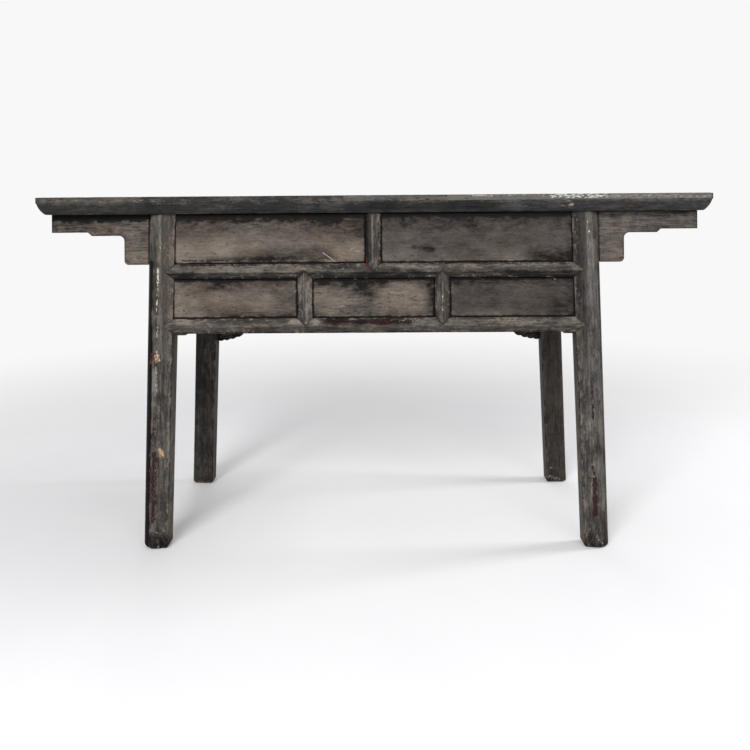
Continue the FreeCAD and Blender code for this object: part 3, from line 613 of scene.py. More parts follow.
def worn_piece(node, material, cuts, arris, waviness=0.0, cutter=None, shaper=None):
    """Stands a dressed, worn piece in for a CAD node, in the same place and on the same body.

    Cuts are how many cut steps lie between its cuts along X, Y and Z, with 0 for no cuts; a cutter
    does its own. Arris is the width of its softened edges. A shaper wears its outline further.
    """
    wear = settings()
    solid = node_surface(node)
    if cutter:
        cutter(solid)
    else:
        slice_evenly(solid, [cut * wear.cut_step for cut in cuts], wear.clearance)
    width, free, joints = mark_edges(solid, neighbours_of(node), arris, wear.joint_arris, wear.touch)
    made = beveled(solid, width)
    if not made.polygons:
        raise RuntimeError(node + " came out empty")
    made.name = node + "_wood"
    near_arris = nearness(free, wear.wear_reach)
    near_seam = nearness(joints, wear.seam_reach)
    for label, reader in (("arris", near_arris), ("seam", near_seam)):
        layer = made.attributes.new(label, "FLOAT", "POINT")
        layer.data.foreach_set("value", [reader(v.co) for v in made.vertices])
    layer = made.attributes.new("board", "FLOAT_VECTOR", "POINT")
    layer.data.foreach_set("vector", board_shift(node) * len(made.vertices))
    if waviness:
        wear_down(made, wear, near_arris, waviness)
    if shaper:
        shaper(made)
    made.materials.clear()
    made.materials.append(material)
    made.polygons.foreach_set("use_smooth", [True] * len(made.polygons))
    made.set_sharp_from_angle(angle=SHARP_ANGLE)
    piece = bpy.data.objects.new(node + "_wood", made)
    bpy.context.scene.collection.objects.link(piece)
    normals = piece.modifiers.new("flat faces", "WEIGHTED_NORMAL")
    normals.keep_sharp = True
    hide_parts(node)
    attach(piece, BODY_OF_NODE[node])


def worn_pieces(nodes, material, cuts, arris, waviness=0.0):
    """Like pieces in one finish."""
    for node in nodes:
        worn_piece(node, material, cuts, arris, waviness)


# Patches are (start, end, width, strength, core) and marks (start, end, width, scarcity, paint,
# strength), in millimetres. A paint is a hex colour or the name of one of the colours above.

# The Y of the drawer fronts and the wings' faces. Places on them are given by X and Z alone.
DRAWER_FACE = -236
WING_FACE = -228

# The front edge of the top: its cove and its underside painted darker, as painted shade, and its upper band
# and right end painted paler, as painted light.
TOP_PATCHES = [
    # Painted shade in the cove, which turns downwards.
    ((-822, -252, 831), (822, -252, 831), 22, -0.06, 0.8),
    # Painted light on the upper band, paler towards the right end.
    ((-60, -270, 861), (822, -270, 861), 11.5, 0.22, 0.8),
    ((190, -270, 861), (440, -270, 861), 11.5, 0.3, 0.8),
    ((-60, -258, 840), (300, -258, 840), 16, -0.16, 0.4),
    # Painted shade under the edge, on the underside of the top.
    ((-822, -238, 822), (822, -238, 822), 10, -0.12, 0.2),
    soft((300, -255, 838), (822, -255, 838), 16, 0.14),
    soft((640, -270, 858), (822, -270, 858), 20, 0.36),
    soft((330, -264, 848), (352, -256, 836), 22, 0.3),
    soft((420, -270, 858), (640, -270, 858), 14, 0.5),
    soft((-822, -270, 856), (-560, -270, 856), 12, 0.22),
    soft((-100, -270, 850), (-40, -270, 850), 30, 0.15),
]

# Pale scuffs, a red rub and tan rubs on the front edge of the top.
TOP_MARKS = [
    ((430, -270, 860), (560, -270, 858), 15, 0.455, "dust", 0.85),
    ((330, -270, 861), (430, -270, 860), 8, 0.58, "dust", 0.6),
    ((565, -270, 859), (810, -270, 858), 14, 0.58, "dust", 0.55),
    ((560, -270, 857), (830, -270, 857), 16, 0.46, "#777573", 0.65),
    ((240, -270, 861), (335, -270, 860), 6, 0.52, "dust", 0.55),
    ((150, -270, 860), (178, -270, 860), 6, 0.45, "maroon", 0.6),
    ((464, -266, 850), (480, -262, 838), 16, 0.5, "#9a8f84", 0.8),
    ((455, -258, 836), (486, -255, 833), 13, 0.52, "#7d7268", 0.7),
    ((-800, -270, 856), (-480, -270, 854), 9, 0.56, "rubbed", 0.6),
    ((-110, -268, 850), (-40, -268, 842), 14, 0.55, "rubbed", 0.35),
]


class ALTAR_OT_top(bpy.types.Operator):
    """Mitred frame of the top, its floating panel and the battens below"""

    bl_idname = "altar.top"
    bl_label = "Top"

    def execute(self, context):
        wear = settings()
        edge_lacquer = aged_lacquer(
            "black_lacquer_top_front", "top", "x", lift=0.035, patches=TOP_PATCHES, marks=TOP_MARKS,
            rubbing=0.14, mottle=0.7, tint=COOL_TINT,
        )
        panel_lacquer = aged_lacquer("black_lacquer_top_panel", "top", "x", rubbing=0.25, tint=COOL_TINT)
        end_lacquer = aged_lacquer("black_lacquer_top_ends", "top", "y", rubbing=0.4, tint=COOL_TINT)
        worn_piece("top_frame_front", edge_lacquer, (1, 1, 0), wear.arris, wear.waviness)
        worn_piece("top_frame_back", panel_lacquer, (1, 1, 0), wear.arris, wear.waviness)
        worn_pieces(("top_frame_left", "top_frame_right"), end_lacquer, (1, 1, 0), wear.arris, wear.waviness)
        worn_piece("top_panel", panel_lacquer, (3, 3, 0), wear.inner_arris, wear.waviness)
        battens = ("top_batten_left", "top_batten_middle", "top_batten_right")
        worn_pieces(battens, bare_elm("bare_elm_battens", "y"), (0, 2, 0), wear.inner_arris)
        return {"FINISHED"}


# Pale filler, maroon and bare wood on the legs. On the front left leg a near-black stroke is maroon deepened
# into painted shade, and a grey stroke is a worn stretch with a painted sheen.
LEG_MARKS = {
    "leg_front_left": [
        ((-520, -241, 768), (-522, -241, 700), 9, 0.58, "dust", 0.7),
        ((-527, -241, 692), (-530, -241, 600), 8, 0.47, "dust", 0.9),
        ((-530, -241, 600), (-532, -241, 520), 9, 0.56, "dust", 0.8),
        # Maroon deepened to near black: painted shade on the outer rounding.
        ((-552, -237, 690), (-565, -237, 20), 13, 0.4, "#1a0c0c", 0.8),
        # Grey worn stretch of the ridge, with a painted sheen.
        ((-535, -240, 446), (-537, -240, 378), 9, 0.46, "#757774", 0.75),
        ((-532, -241, 440), (-534, -241, 380), 6, 0.54, "dust", 0.9),
        ((-532, -241, 486), (-532, -241, 482), 5, 0.4, "dust", 0.9),
        ((-532, -241, 475), (-531, -241, 465), 17, 0.42, "chip", 0.95),
        ((-546, -238, 478), (-547, -238, 458), 14, 0.46, "#54211a", 0.9),
        ((-550, -238, 476), (-550, -238, 460), 8, 0.58, "chip", 0.8),
        ((-525, -241, 241), (-522, -241, 230), 20, 0.47, "chip", 0.95),
        ((-524, -241, 236), (-524, -241, 236), 8, 0.4, "chip", 0.95),
        ((-538, -240, 330), (-540, -240, 250), 15, 0.48, "maroon", 0.9),
        ((-540, -240, 235), (-545, -239, 70), 18, 0.42, "maroon", 0.9),
        ((-536, -241, 225), (-541, -241, 120), 6, 0.56, "#8f8378", 0.8),
        ((-533, -241, 225), (-532, -241, 200), 10, 0.46, "maroon", 0.8),
        ((-549, -238, 290), (-555, -238, 80), 8, 0.58, "#7d7067", 0.7),
        ((-520, -241, 110), (-518, -241, 30), 16, 0.55, "maroon", 0.7),
        ((-548, -238, 40), (-520, -240, 22), 22, 0.52, "maroon", 0.85),
        ((-540, -240, 46), (-516, -241, 26), 14, 0.6, "dust", 0.6),
        ((-545, -236, 4), (-522, -236, 4), 7, 0.46, "chip", 0.9),
        ((-507, -241, 23), (-507, -241, 16), 7, 0.4, "chip", 0.6),
    ],
    "leg_front_right": [
        ((522, -241, 798), (523, -241, 794), 6, 0.48, "dust", 0.5),
        ((526, -241, 774), (526, -241, 771), 5, 0.35, "dust", 0.75),
        ((523, -241, 720), (525, -241, 640), 8, 0.62, "dust", 0.6),
        ((527, -241, 640), (531, -241, 300), 8, 0.64, "dust", 0.5),
        ((531, -241, 410), (531, -241, 365), 9, 0.45, "maroon", 0.9),
        ((532, -241, 350), (533, -241, 315), 8, 0.42, "#140c0c", 0.9),
        ((532, -241, 200), (535, -241, 176), 9, 0.44, "maroon", 0.9),
        ((535, -241, 170), (537, -241, 84), 13, 0.34, "maroon", 0.92),
        ((534, -241, 176), (535, -241, 150), 6, 0.56, "dust", 0.7),
        ((520, -241, 250), (522, -241, 60), 18, 0.57, "maroon", 0.6),
        ((556, -234, 90), (560, -234, 10), 16, 0.42, "maroon", 0.85),
        ((540, -240, 30), (552, -240, 8), 15, 0.54, "#a3948a", 0.8),
        ((515, -236, 4), (555, -236, 4), 5, 0.5, "chip", 0.7),
    ],
    "leg_back_left": [
        ((-556, 194, 14), (-515, 194, 12), 18, 0.5, "maroon", 0.7),
        ((-553, 196, 4), (-545, 196, 3), 6, 0.4, "chip", 0.9),
    ],
    "leg_back_right": [
        ((513, 194, 46), (552, 194, 40), 12, 0.62, "dust", 0.5),
        ((514, 194, 19), (550, 194, 10), 12, 0.5, "#867b72", 0.8),
    ],
}

# Darker and paler stretches of the legs. Among them are a painted shadow under the top, painted shade on the
# sides that turn away from the lamps and painted light on those that face them.
LEG_PATCHES = {
    "leg_front_left": [
        # Painted shadow under the top.
        ((-590, -225, 822), (-470, -225, 822), 20, -0.5, -0.2),
        # Painted shade on the outer rounding, which turns away from the lamps.
        ((-548, -236, 700), (-553, -236, 540), 9, -0.9, 0.5),
        ((-553, -236, 540), (-566, -236, 10), 13, -1.4, 0.6),
        ((-488, -234, 520), (-502, -234, 10), 11, -0.6, 0.4),
        # Painted shade on the left facet.
        ((-545, -238, 830), (-545, -238, 690), 12, -0.12, 0.5),
        ((-549, -238, 665), (-550, -238, 600), 11, -0.15, 0.3),
        # Painted light on the inner facet, which faces the lamp on the right.
        soft((-510, -238, 760), (-512, -238, 480), 20, 0.4),
        ((-511, -237, 830), (-514, -237, 560), 20, 0.15, 0.5),
        ((-512, -237, 825), (-512, -237, 710), 18, 0.12, 0.3),
        ((-545, -238, 700), (-540, -238, 600), 16, -0.12, 0.2),
        # Pale worn stretch of the ridge, with a painted sheen.
        ((-538, -241, 440), (-540, -241, 390), 9, 0.5, 0.0),
        soft((-525, -241, 250), (-535, -241, 60), 14, 0.12),
        soft((-535, -241, 170), (-540, -241, 20), 60, -0.2),
        soft((-527, -241, 690), (-530, -241, 545), 20, -0.13),
        soft((-528, -241, 515), (-531, -241, 370), 20, -0.15),
        soft((-524, -241, 365), (-528, -241, 220), 24, -0.2),
        soft((-528, -241, 215), (-532, -241, 70), 18, -0.08),
        soft((-521, -241, 805), (-523, -241, 700), 8, -0.1),
        ((-504, -238, 810), (-504, -238, 700), 17, 0.12, 0.2),
        ((-590, -225, 4), (-490, -225, 4), 56, -0.7, -0.2),
    ],
    "leg_front_right": [
        # Painted shadow under the top.
        ((470, -225, 822), (590, -225, 822), 20, -0.5, -0.2),
        # Painted shade on the inner facet, which turns away from the lamp on the right.
        ((497, -235, 800), (503, -235, 600), 16, -0.2, 0.0),
        ((488, -234, 520), (503, -234, 10), 11, -0.6, 0.4),
        # Painted shade at the outer edge, where the rounding turns away.
        ((553, -234, 690), (572, -234, 10), 7, -0.6, 0.3),
        ((512, -240, 815), (514, -240, 600), 15, 0.2, 0.2),
        ((540, -238, 830), (541, -238, 760), 10, -0.22, 0.2),
        ((530, -240, 745), (532, -240, 690), 14, 0.2, 0.2),
        ((522, -241, 690), (526, -241, 600), 16, 0.1, 0.2),
        ((512, -239, 540), (514, -239, 450), 15, 0.1, 0.2),
        ((531, -240, 530), (532, -240, 470), 10, -0.18, 0.2),
        soft((510, -239, 400), (512, -239, 300), 22, -0.16),
        ((556, -237, 400), (562, -237, 280), 11, -0.05, 0.2),
        soft((530, -241, 220), (538, -241, 20), 60, -0.2),
        ((531, -240, 805), (533, -240, 560), 26, 0.12, 0.1),
        soft((520, -240, 515), (522, -240, 375), 14, 0.12),
        soft((528, -241, 215), (531, -241, 70), 12, 0.12),
        soft((553, -238, 215), (560, -238, 70), 14, 0.14),
        ((490, -225, 2), (590, -225, 2), 46, -0.6, -0.2),
    ],
    "leg_back_left": [soft((-560, 194, 700), (-570, 194, 300), 70, -0.5)],
    "leg_back_right": [
        soft((560, 194, 100), (570, 194, 20), 60, 0.15),
        soft((550, 194, 540), (562, 194, 100), 70, 0.1),
    ],
}

# How round each foot is worn at its inner, outer and face sides, in millimetres.
FOOT_RADII = {
    "leg_front_left": (2, 13, 4),
    "leg_front_right": (5, 6, 4),
    "leg_back_left": (3, 9, 4),
    "leg_back_right": (3, 5, 4),
}


def round_foot(side, radii):
    """A function that wears a foot round: radii are those of its inner, outer and face sides."""
    inner_radius, outer_radius, face_radius = radii

    def inset(height, radius):
        rise = max(0.0, 1 - height / radius)
        return radius * (1 - math.sqrt(1 - rise * rise))

    def shape(made):
        foot = [v.co for v in made.vertices if v.co.z < 2 * MM]
        low = Vector(min(place[i] for place in foot) for i in range(3))
        high = Vector(max(place[i] for place in foot) for i in range(3))
        centre, half = (low + high) / 2, (high - low) / 2
        for vertex in made.vertices:
            place = vertex.co
            if place.z < max(radii):
                out = place - centre
                radius = outer_radius if out.x * side > 0 else inner_radius
                place.x -= out.x * inset(place.z, radius) / half.x
                place.y -= out.y * inset(place.z, face_radius) / half.y

    return shape


class ALTAR_OT_legs(bpy.types.Operator):
    """Four legs, square inside and round outside, worn along their ridges and feet"""

    bl_idname = "altar.legs"
    bl_label = "Legs"

    def execute(self, context):
        wear = settings()
        for node, radii in FOOT_RADII.items():
            side = -1 if node.endswith("left") else 1
            front = "front" in node
            lacquer = aged_lacquer(
                "black_lacquer_" + node, "frame" if front else "back", "z",
                lift=0.13 if front else 0.17, patches=LEG_PATCHES[node], marks=LEG_MARKS[node],
                rubbing=0.4 if front else 0.15,
                tint=WARM_TINT if node == "leg_front_left" else COOL_TINT,
            )
            worn_piece(
                node, lacquer, (0, 0, 0), wear.arris, wear.waviness * 1.6,
                cutter=lambda solid, side=side: slice_leg(solid, side, wear.leg_step, wear.clearance),
                shaper=round_foot(side, [radius * MM for radius in radii]),
            )
        return {"FINISHED"}


# Darker and rubbed stretches of the front rails and the dividers. On the dividers the left facets carry
# painted shade, and the right facets and ridges painted light.
RAIL_PATCHES = {
    "front_bottom_rail": [
        ((-480, -240, 558), (-455, -240, 556), 12, 0.4, 0.0),
        ((-200, -240, 557), (-140, -240, 556), 12, 0.5, 0.0),
        ((-110, -240, 556), (90, -240, 555), 11, -0.5, 0.0),
        ((-420, -240, 557), (-260, -240, 557), 12, -0.15, 0.0),
    ],
    "front_middle_rail": [
        ((-440, -240, 692), (-140, -240, 692), 12, -0.06, 0.0),
        ((-120, -240, 690), (-60, -240, 690), 12, -0.3, 0.0),
        ((-40, -240, 682), (480, -240, 680), 12, -0.2, 0.0),
    ],
    "dividers": [
        # Painted shade on the left side and left facet of the upper divider.
        ((-18, -236, 830), (-18, -236, 690), 10, -0.25, 0.3),
        ((-10, -238, 822), (-10, -238, 705), 8, -0.14, 0.6),
        # Painted highlight on the worn ridge of the upper divider.
        ((-2, -241, 815), (-2, -241, 700), 3.5, 0.3, 0.2),
        # Painted light on the right facet of the left lower divider, and painted highlight on the worn
        # ridges of the lower dividers.
        ((-157, -238, 650), (-157, -238, 555), 9, 0.2, 0.5),
        ((-165, -241, 650), (-165, -241, 555), 3.5, 0.2, 0.2),
        ((169, -241, 650), (168, -241, 555), 3.5, 0.25, 0.2),
        soft((0, -241, 800), (0, -241, 730), 30, -0.1),
    ],
}

# Maroon, red and pale strokes along them.
RAIL_MARKS = {
    "front_bottom_rail": [
        ((-122, -241, 555), (-64, -241, 555), 13, 0.42, "#270e0f", 0.65),
        ((-108, -241, 557), (-70, -241, 557), 7, 0.44, "#270e0f", 0.8),
        ((-60, -241, 553), (-20, -241, 553), 12, 0.52, "#270e0f", 0.9),
        ((-5, -241, 554), (40, -241, 554), 15, 0.4, "#270e0f", 0.9),
        ((48, -241, 554), (120, -241, 557), 15, 0.5, "#270e0f", 0.9),
        ((20, -241, 556), (130, -241, 558), 14, 0.58, "dust", 0.5),
        ((-210, -241, 556), (-120, -241, 556), 10, 0.6, "dust", 0.5),
        ((-470, -241, 548), (470, -241, 548), 6, 0.66, "dust", 0.4),
        ((-460, -238, 530), (460, -238, 530), 6, 0.58, "#231614", 0.6),
    ],
    "front_middle_rail": [
        ((-470, -238, 697), (-390, -238, 696), 9, 0.42, "#231614", 0.95),
        ((-360, -238, 697), (-290, -238, 696), 9, 0.46, "#231614", 0.95),
        ((-300, -238, 697), (470, -238, 696), 5, 0.52, "#231614", 0.9),
        ((-17, -240, 700), (-15, -240, 690), 4, 0.2, "#54191b", 0.9),
        ((-15, -240, 690), (-10, -241, 685), 3, 0.2, "#54191b", 0.9),
        ((-120, -241, 686), (40, -241, 684), 10, 0.6, "dust", 0.55),
        ((-470, -241, 681), (470, -241, 680), 5, 0.66, "dust", 0.4),
    ],
    "dividers": [
        ((-165, -241, 640), (-165, -241, 545), 6, 0.58, "dust", 0.6),
        ((169, -241, 630), (168, -241, 580), 6, 0.54, "dust", 0.7),
        ((-18, -237, 790), (-18, -237, 715), 7, 0.5, "maroon", 0.8),
        ((-18, -238, 713), (-17, -238, 700), 5, 0.3, "#54191b", 0.9),
    ],
}


class ALTAR_OT_front_rails(bpy.types.Operator):
    """Ridged front rails and the dividers between the drawers"""

    bl_idname = "altar.front_rails"
    bl_label = "Front rails and dividers"

    def execute(self, context):
        wear = settings()
        arris = wear.arris * 0.6
        below_ridge = 18.5
        # Each rail's face below its ridge is painted darker: painted shade on the bevel that faces down,
        # with dirt.
        for node, lift, shade in (("front_bottom_rail", 0.14, -0.16), ("front_middle_rail", 0.19, -0.43)):
            patches = front_bands(node, bottom=(below_ridge, shade), core=0.7) + RAIL_PATCHES[node]
            lacquer = aged_lacquer(
                "black_lacquer_" + node, "frame", "x", lift=lift, patches=patches,
                marks=RAIL_MARKS[node], rubbing=0.4, arris_shade=0.25,
            )
            worn_piece(node, lacquer, (1, 0, 0), arris, wear.waviness)
        upright = aged_lacquer(
            "black_lacquer_dividers", "frame", "z", lift=0.02, patches=RAIL_PATCHES["dividers"],
            marks=RAIL_MARKS["dividers"], rubbing=0.4, arris_shade=0.25,
        )
        dividers = ("upper_divider", "lower_divider_left", "lower_divider_right")
        worn_pieces(dividers, upright, (0, 0, 1), arris, wear.waviness)
        return {"FINISHED"}


def wing_patches(sign, shadow_under_top, toe, head):
    """Painted shade of a wing: a painted shadow under the top, a darker toe and a paler head; sign is -1 for
    the left end.
    """
    patches = [
        # Painted shadow of the top's overhang along the wing.
        ((560, 822), (800, 822), 21, shadow_under_top, 0.2),
        soft((800, 800), (650, 800), 40, toe),
        soft((598, 770), (552, 735), 40, head),
    ]
    sided = [((sign * x0, z0), (sign * x1, z1), *rest) for (x0, z0), (x1, z1), *rest in patches]
    return on_face(WING_FACE, sided)


class ALTAR_OT_wings(bpy.types.Operator):
    """Stepped wings under the overhangs and the aprons across both ends"""

    bl_idname = "altar.wings"
    bl_label = "Wings and end aprons"

    def execute(self, context):
        wear = settings()
        arris = wear.arris * 0.8
        apron_lacquer = aged_lacquer("black_lacquer_end_aprons", "frame", "y")
        for end, lift, patches, tint in (
            ("left", 0.06, wing_patches(-1, -1.6, -0.3, 0.07), WARM_TINT),
            ("right", 0.04, wing_patches(1, -0.2, -0.1, 0.01), COOL_TINT),
        ):
            for face, tone in (("front", "drawer"), ("back", "frame")):
                node = "wing_" + face + "_" + end
                lacquer = aged_lacquer(
                    "black_lacquer_" + node, tone, "x", lift=lift, patches=patches, rubbing=0.25,
                    arris_shade=0.25, tint=tint,
                )
                worn_piece(node, lacquer, (1, 0, 1), arris, wear.waviness)
            worn_piece("end_apron_" + end, apron_lacquer, (0, 1, 1), arris, wear.waviness)
        return {"FINISHED"}


class ALTAR_OT_back(bpy.types.Operator):
    """Back rails, back boards and the carved corner brackets"""

    bl_idname = "altar.back"
    bl_label = "Back"

    def execute(self, context):
        wear = settings()
        inner = wear.inner_arris
        lacquer = aged_lacquer("thin_black_lacquer_back", "back", "x", rubbing=0.12, tint=COOL_TINT)
        worn_pieces(("back_bottom_rail", "back_middle_rail"), lacquer, (2, 0, 0), wear.arris, wear.waviness)
        worn_pieces(("back_board_lower", "back_board_upper"), lacquer, (3, 0, 2), inner)
        worn_pieces(("back_bracket_left", "back_bracket_right"), lacquer, (1, 0, 1), inner, wear.waviness)
        return {"FINISHED"}


class ALTAR_OT_sides(bpy.types.Operator):
    """Rails and board in each side of the case"""

    bl_idname = "altar.sides"
    bl_label = "Sides"

    def execute(self, context):
        wear = settings()
        lacquer = aged_lacquer("black_lacquer_sides", "frame", "y", lift=-0.1)
        for end in ("left", "right"):
            rails = ("side_bottom_rail_" + end, "side_top_rail_" + end)
            worn_pieces(rails, lacquer, (0, 1, 0), wear.arris, wear.waviness)
            worn_piece("side_board_" + end, lacquer, (0, 2, 2), wear.inner_arris)
        return {"FINISHED"}


class ALTAR_OT_runners(bpy.types.Operator):
    """Runners the drawers slide on and the guides between them"""

    bl_idname = "altar.runners"
    bl_label = "Runners and guides"

    def execute(self, context):
        nodes = ("lower_runners", "upper_runners", "drawer_guides")
        worn_pieces(nodes, bare_elm("bare_elm_runners", "y"), (0, 3, 0), settings().inner_arris)
        return {"FINISHED"}


# Darker, dirty and rubbed places of each drawer front, and along the top of the upper left one a painted
# shadow under the top.
DRAWER_PATCHES = {
    "upper_left": [
        # Painted shadow under the top along the upper left drawer.
        ((-480, 817), (-90, 817), 26, -0.45, -0.2),
        soft((-480, 732), (-370, 730), 40, 0.36),
        soft((-380, 748), (-120, 745), 30, 0.12),
        ((-405, 709), (-250, 710), 11, -0.35, 0.0),
        ((-250, 712), (-90, 712), 15, -0.25, -0.3),
        soft((-260, 722), (-110, 728), 22, -0.25),
        soft((-90, 722), (-30, 735), 34, 0.25),
        soft((-130, 795), (-25, 780), 50, -0.22),
    ],
    "upper_right": [
        soft((20, 760), (495, 760), 95, -0.12),
        soft((30, 716), (85, 712), 30, 0.25),
        ((100, 736), (145, 730), 12, -0.35, 0.0),
        soft((400, 712), (495, 708), 30, -0.35),
        soft((290, 722), (350, 716), 24, 0.15),
    ],
    "lower_left": [
        soft((-390, 660), (-320, 658), 30, -0.45),
        soft((-480, 615), (-270, 605), 32, 0.22),
        soft((-480, 574), (-430, 574), 24, 0.22),
        ((-370, 567), (-200, 570), 14, -0.35, -0.2),
        soft((-240, 630), (-200, 610), 26, -0.2),
    ],
    "lower_middle": [
        soft((-120, 658), (20, 658), 24, -0.35),
        soft((-60, 655), (-10, 630), 28, -0.35),
        soft((-140, 612), (-70, 606), 34, 0.28),
        soft((20, 612), (110, 616), 34, 0.25),
        soft((10, 640), (90, 642), 22, 0.2),
        soft((145, 640), (150, 580), 22, -0.35),
        ((-20, 570), (130, 570), 10, -0.15, -0.2),
    ],
    "lower_right": [
        soft((195, 610), (495, 610), 70, -0.16),
        soft((330, 610), (370, 606), 30, 0.15),
        soft((240, 574), (330, 574), 14, 0.2),
        soft((430, 590), (490, 585), 30, -0.15),
    ],
}

# Scratches and flecks of each drawer front.
DRAWER_MARKS = {
    "upper_left": [
        ((-124, 725), (-99, 707), 1.4, 0.2, "dust", 0.6),
        ((-470, 707), (-330, 706), 7, 0.46, "#241a18", 0.9),
        ((-480, 704), (-30, 704), 3.5, 0.6, "dust", 0.45),
        ((-60, 740), (-30, 715), 26, 0.62, "dust", 0.35),
        ((-84, 731), (-66, 719), 2.6, 0.42, "#8d867c", 0.35),
        ((-57, 731), (-40, 741), 3.4, 0.45, "#8d867c", 0.4),
        ((-52, 722), (-33, 728), 4, 0.46, "#8d867c", 0.4),
    ],
    "upper_right": [
        ((25, 705), (480, 704), 4, 0.62, "dust", 0.4),
        ((40, 800), (470, 795), 14, 0.6, "maroon", 0.4),
    ],
    "lower_left": [
        ((-480, 621), (-476, 621), 5, 0.5, "dust", 0.5),
        ((-480, 590), (-440, 572), 14, 0.58, "#241a18", 0.8),
    ],
    "lower_middle": [
        ((-60, 590), (60, 584), 22, 0.57, "#241a18", 0.7),
        ((-112, 604), (-84, 612), 10, 0.57, "#8d867c", 0.4),
        ((-98, 590), (-72, 596), 8, 0.56, "#8d867c", 0.35),
        ((-92, 612), (-66, 602), 5, 0.48, "#8d867c", 0.4),
        ((-60, 613), (-30, 605), 9, 0.56, "#8d867c", 0.4),
        ((30, 628), (62, 624), 9, 0.56, "#8d867c", 0.35),
        ((66, 612), (96, 606), 9, 0.54, "#8d867c", 0.4),
    ],
    "lower_right": [
        ((440, 660), (445, 655), 4, 0.5, "dust", 0.4),
    ],
}


def drawer_edges(node, upper):
    """Dark bands along a drawer front's edges: painted shade in the gaps round it, with dirt, and a wider
    painted shadow below its top and along its right side. The upper row, under the top, has more.
    """
    # The narrow bands are painted shade in the gaps round the front, with dirt in them.
    dirt = front_bands(
        node, top=(14.0 if upper else 6.0, -0.7), bottom=(5.0, -0.7), left=(5.0, -0.7),
        right=(6.0, -0.75), core=0.1,
    )
    # The wider bands are painted shadow below the top and along the right side.
    painted_shadow = front_bands(node, top=(60.0 if upper else 30.0, -0.42), right=(30.0, -0.15), core=-0.5)
    return dirt + painted_shadow


class ALTAR_OT_drawers(bpy.types.Operator):
    """Five drawers: faded lacquered fronts on bare dovetailed boxes"""

    bl_idname = "altar.drawers"
    bl_label = "Drawers"

    def execute(self, context):
        wear = settings()
        inner = wear.inner_arris
        side_wood = bare_elm("bare_elm_drawer_sides", "y")
        wide_wood = bare_elm("bare_elm_drawer_backs", "x")
        for place, lift, mottle in (
            ("upper_left", 0.04, 0.72),
            ("upper_right", -0.01, 0.48),
            ("lower_left", 0.06, 0.85),
            ("lower_middle", 0.04, 1.0),
            ("lower_right", -0.07, 0.46),
        ):
            drawer = "drawer_" + place
            edges = drawer_edges(drawer + "_front", place.startswith("upper"))
            lacquer = aged_lacquer(
                "faded_lacquer_" + drawer, "drawer", "x", lift=lift,
                patches=edges + on_face(DRAWER_FACE, DRAWER_PATCHES[place]),
                marks=on_face(DRAWER_FACE, DRAWER_MARKS[place]),
                rubbing=0.2, chipping=0.4, mottle=mottle, lines=0.5,
                tint=COOL_TINT if place.endswith("right") else WARM_TINT,
            )
            worn_piece(drawer + "_front", lacquer, (1, 0, 1), inner, wear.waviness)
            worn_piece(drawer + "_sides", side_wood, (0, 4, 0), inner)
            worn_piece(drawer + "_back", wide_wood, (4, 0, 0), inner)
            worn_piece(drawer + "_bottom", wide_wood, (4, 4, 0), inner)
        return {"FINISHED"}


def seen_directly(tree):
    """1 for rays to the camera, to a shine or through glass, and 0 for light that falls on the object."""
    rays = add(tree, "ShaderNodeLightPath").outputs
    shone = {0: rays["Is Camera Ray"], 1: rays["Is Glossy Ray"]}
    shone = add(tree, "ShaderNodeMath", shone, operation="ADD").outputs[0]
    seen = {0: shone, 1: rays["Is Transmission Ray"]}
    return add(tree, "ShaderNodeMath", seen, operation="ADD", use_clamp=True).outputs[0]


def pale_floor():
    """Painted studio floor, matt. It keeps the shadow and fades to the white of the room far away."""
    material, tree, surface = blank_material("matt_white_paint_floor")
    own = add(tree, "ShaderNodeTexCoord").outputs["Object"]
    # Faint clouds in the paint, a third of a metre long.
    faint = add(tree, "ShaderNodeTexNoise", {"Vector": own, "Scale": 3.0, "Detail": 4.0}).outputs["Fac"]
    clouded = mask_above(tree, faint, 0.4, 0.7, 0.25)
    colour = layered(tree, colours().floor, [(clouded, linear(FLOOR_SHADE))])
    tree.links.new(colour, surface.inputs["Base Color"])
    surface.inputs["Roughness"].default_value = 0.7
    distance = add(tree, "ShaderNodeVectorMath", {0: own}, operation="LENGTH").outputs["Value"]
    far = mask_above(tree, distance, *FLOOR_FADE)
    fade = add(tree, "ShaderNodeMath", {0: far, 1: seen_directly(tree)}, operation="MULTIPLY").outputs[0]
    glow = add(tree, "ShaderNodeEmission", {"Color": linear(ROOM_WHITE), "Strength": 1.0}).outputs[0]
    mixed = add(tree, "ShaderNodeMixShader", {0: fade, 1: surface.outputs["BSDF"], 2: glow}).outputs[0]
    output = next(node for node in tree.nodes if node.type == "OUTPUT_MATERIAL")
    tree.links.new(mixed, output.inputs["Surface"])
    return material


def room_light():
    """White room seen directly, and an even grey light from it on the object."""
    world = bpy.data.worlds.new("white_room")
    bpy.context.scene.world = world
    world.use_nodes = True
    tree = world.node_tree
    tree.nodes.clear()
    even = add(tree, "ShaderNodeBackground", {"Color": linear("#ffffff"), "Strength": ROOM_LEVEL})
    white = add(tree, "ShaderNodeBackground", {"Color": linear(ROOM_WHITE), "Strength": 1.0})
    sockets = {0: seen_directly(tree), 1: even.outputs[0], 2: white.outputs[0]}
    add(tree, "ShaderNodeOutputWorld", {"Surface": add(tree, "ShaderNodeMixShader", sockets).outputs[0]})


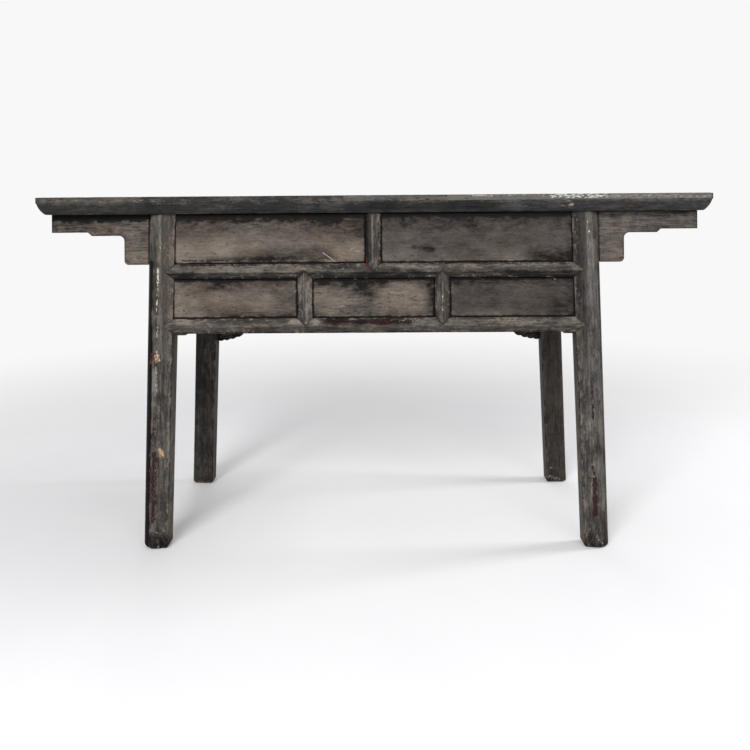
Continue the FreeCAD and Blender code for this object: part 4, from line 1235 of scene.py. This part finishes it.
class ALTAR_OT_stage(bpy.types.Operator):
    """Pale floor, soft lamps, white room and the camera"""

    bl_idname = "altar.stage"
    bl_label = "Studio"

    def execute(self, context):
        scene = context.scene
        plan = bmesh.new()
        bmesh.ops.create_circle(plan, cap_ends=True, radius=FLOOR_RADIUS, segments=FLOOR_SIDES)
        mesh = bpy.data.meshes.new("studio_floor")
        plan.to_mesh(mesh)
        plan.free()
        mesh.materials.append(pale_floor())
        floor = bpy.data.objects.new("studio_floor", mesh)
        scene.collection.objects.link(floor)
        room_light()
        for name, place, size, power in LAMPS:
            lamp = bpy.data.lights.new(name, "AREA")
            lamp.shape = "RECTANGLE"
            lamp.size, lamp.size_y = size
            lamp.energy = power
            holder = bpy.data.objects.new(name, lamp)
            holder.location = place
            aim = Vector(LAMP_AIM) - Vector(place)
            holder.rotation_euler = aim.to_track_quat("-Z", "Y").to_euler()
            scene.collection.objects.link(holder)
        view = bpy.data.cameras.new("photograph_view")
        view.lens = CAMERA_LENS
        view.shift_x, view.shift_y = CAMERA_SHIFT
        camera = bpy.data.objects.new("photograph_view", view)
        turn = Matrix.Rotation(CAMERA_TURN, 4, "Z")
        level = Matrix.Rotation(math.pi / 2, 4, "X")
        roll = Matrix.Rotation(CAMERA_ROLL, 4, "Z")
        camera.matrix_world = Matrix.Translation(CAMERA_PLACE) @ turn @ level @ roll
        scene.collection.objects.link(camera)
        scene.camera = camera
        scene.view_settings.view_transform = "Standard"
        return {"FINISHED"}


class ALTAR_PT_panel(bpy.types.Panel):
    """Buttons and values for the altar table"""

    bl_idname = "ALTAR_PT_panel"
    bl_label = "Altar Table"
    bl_space_type = "VIEW_3D"
    bl_region_type = "UI"
    bl_category = "Altar Table"

    def draw(self, context):
        layout = self.layout
        for operator in OPERATORS:
            layout.operator(operator.bl_idname)
        for group in (context.scene.altar_wear, context.scene.altar_colours):
            column = layout.column(align=True)
            for name in group.__annotations__:
                column.prop(group, name)


OPERATORS = (
    ALTAR_OT_top,
    ALTAR_OT_legs,
    ALTAR_OT_front_rails,
    ALTAR_OT_wings,
    ALTAR_OT_back,
    ALTAR_OT_sides,
    ALTAR_OT_runners,
    ALTAR_OT_drawers,
    ALTAR_OT_stage,
)
CLASSES = (AltarWear, AltarColours, *OPERATORS, ALTAR_PT_panel)


def register():
    for made in CLASSES:
        bpy.utils.register_class(made)
    bpy.types.Scene.altar_wear = bpy.props.PointerProperty(type=AltarWear)
    bpy.types.Scene.altar_colours = bpy.props.PointerProperty(type=AltarColours)


def unregister():
    del bpy.types.Scene.altar_wear
    del bpy.types.Scene.altar_colours
    for made in reversed(CLASSES):
        bpy.utils.unregister_class(made)


def main():
    """Registers the add-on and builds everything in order."""
    register()
    bpy.ops.altar.top()
    bpy.ops.altar.legs()
    bpy.ops.altar.front_rails()
    bpy.ops.altar.wings()
    bpy.ops.altar.back()
    bpy.ops.altar.sides()
    bpy.ops.altar.runners()
    bpy.ops.altar.drawers()
    bpy.ops.altar.stage()


if __name__ == "__main__":
    main()
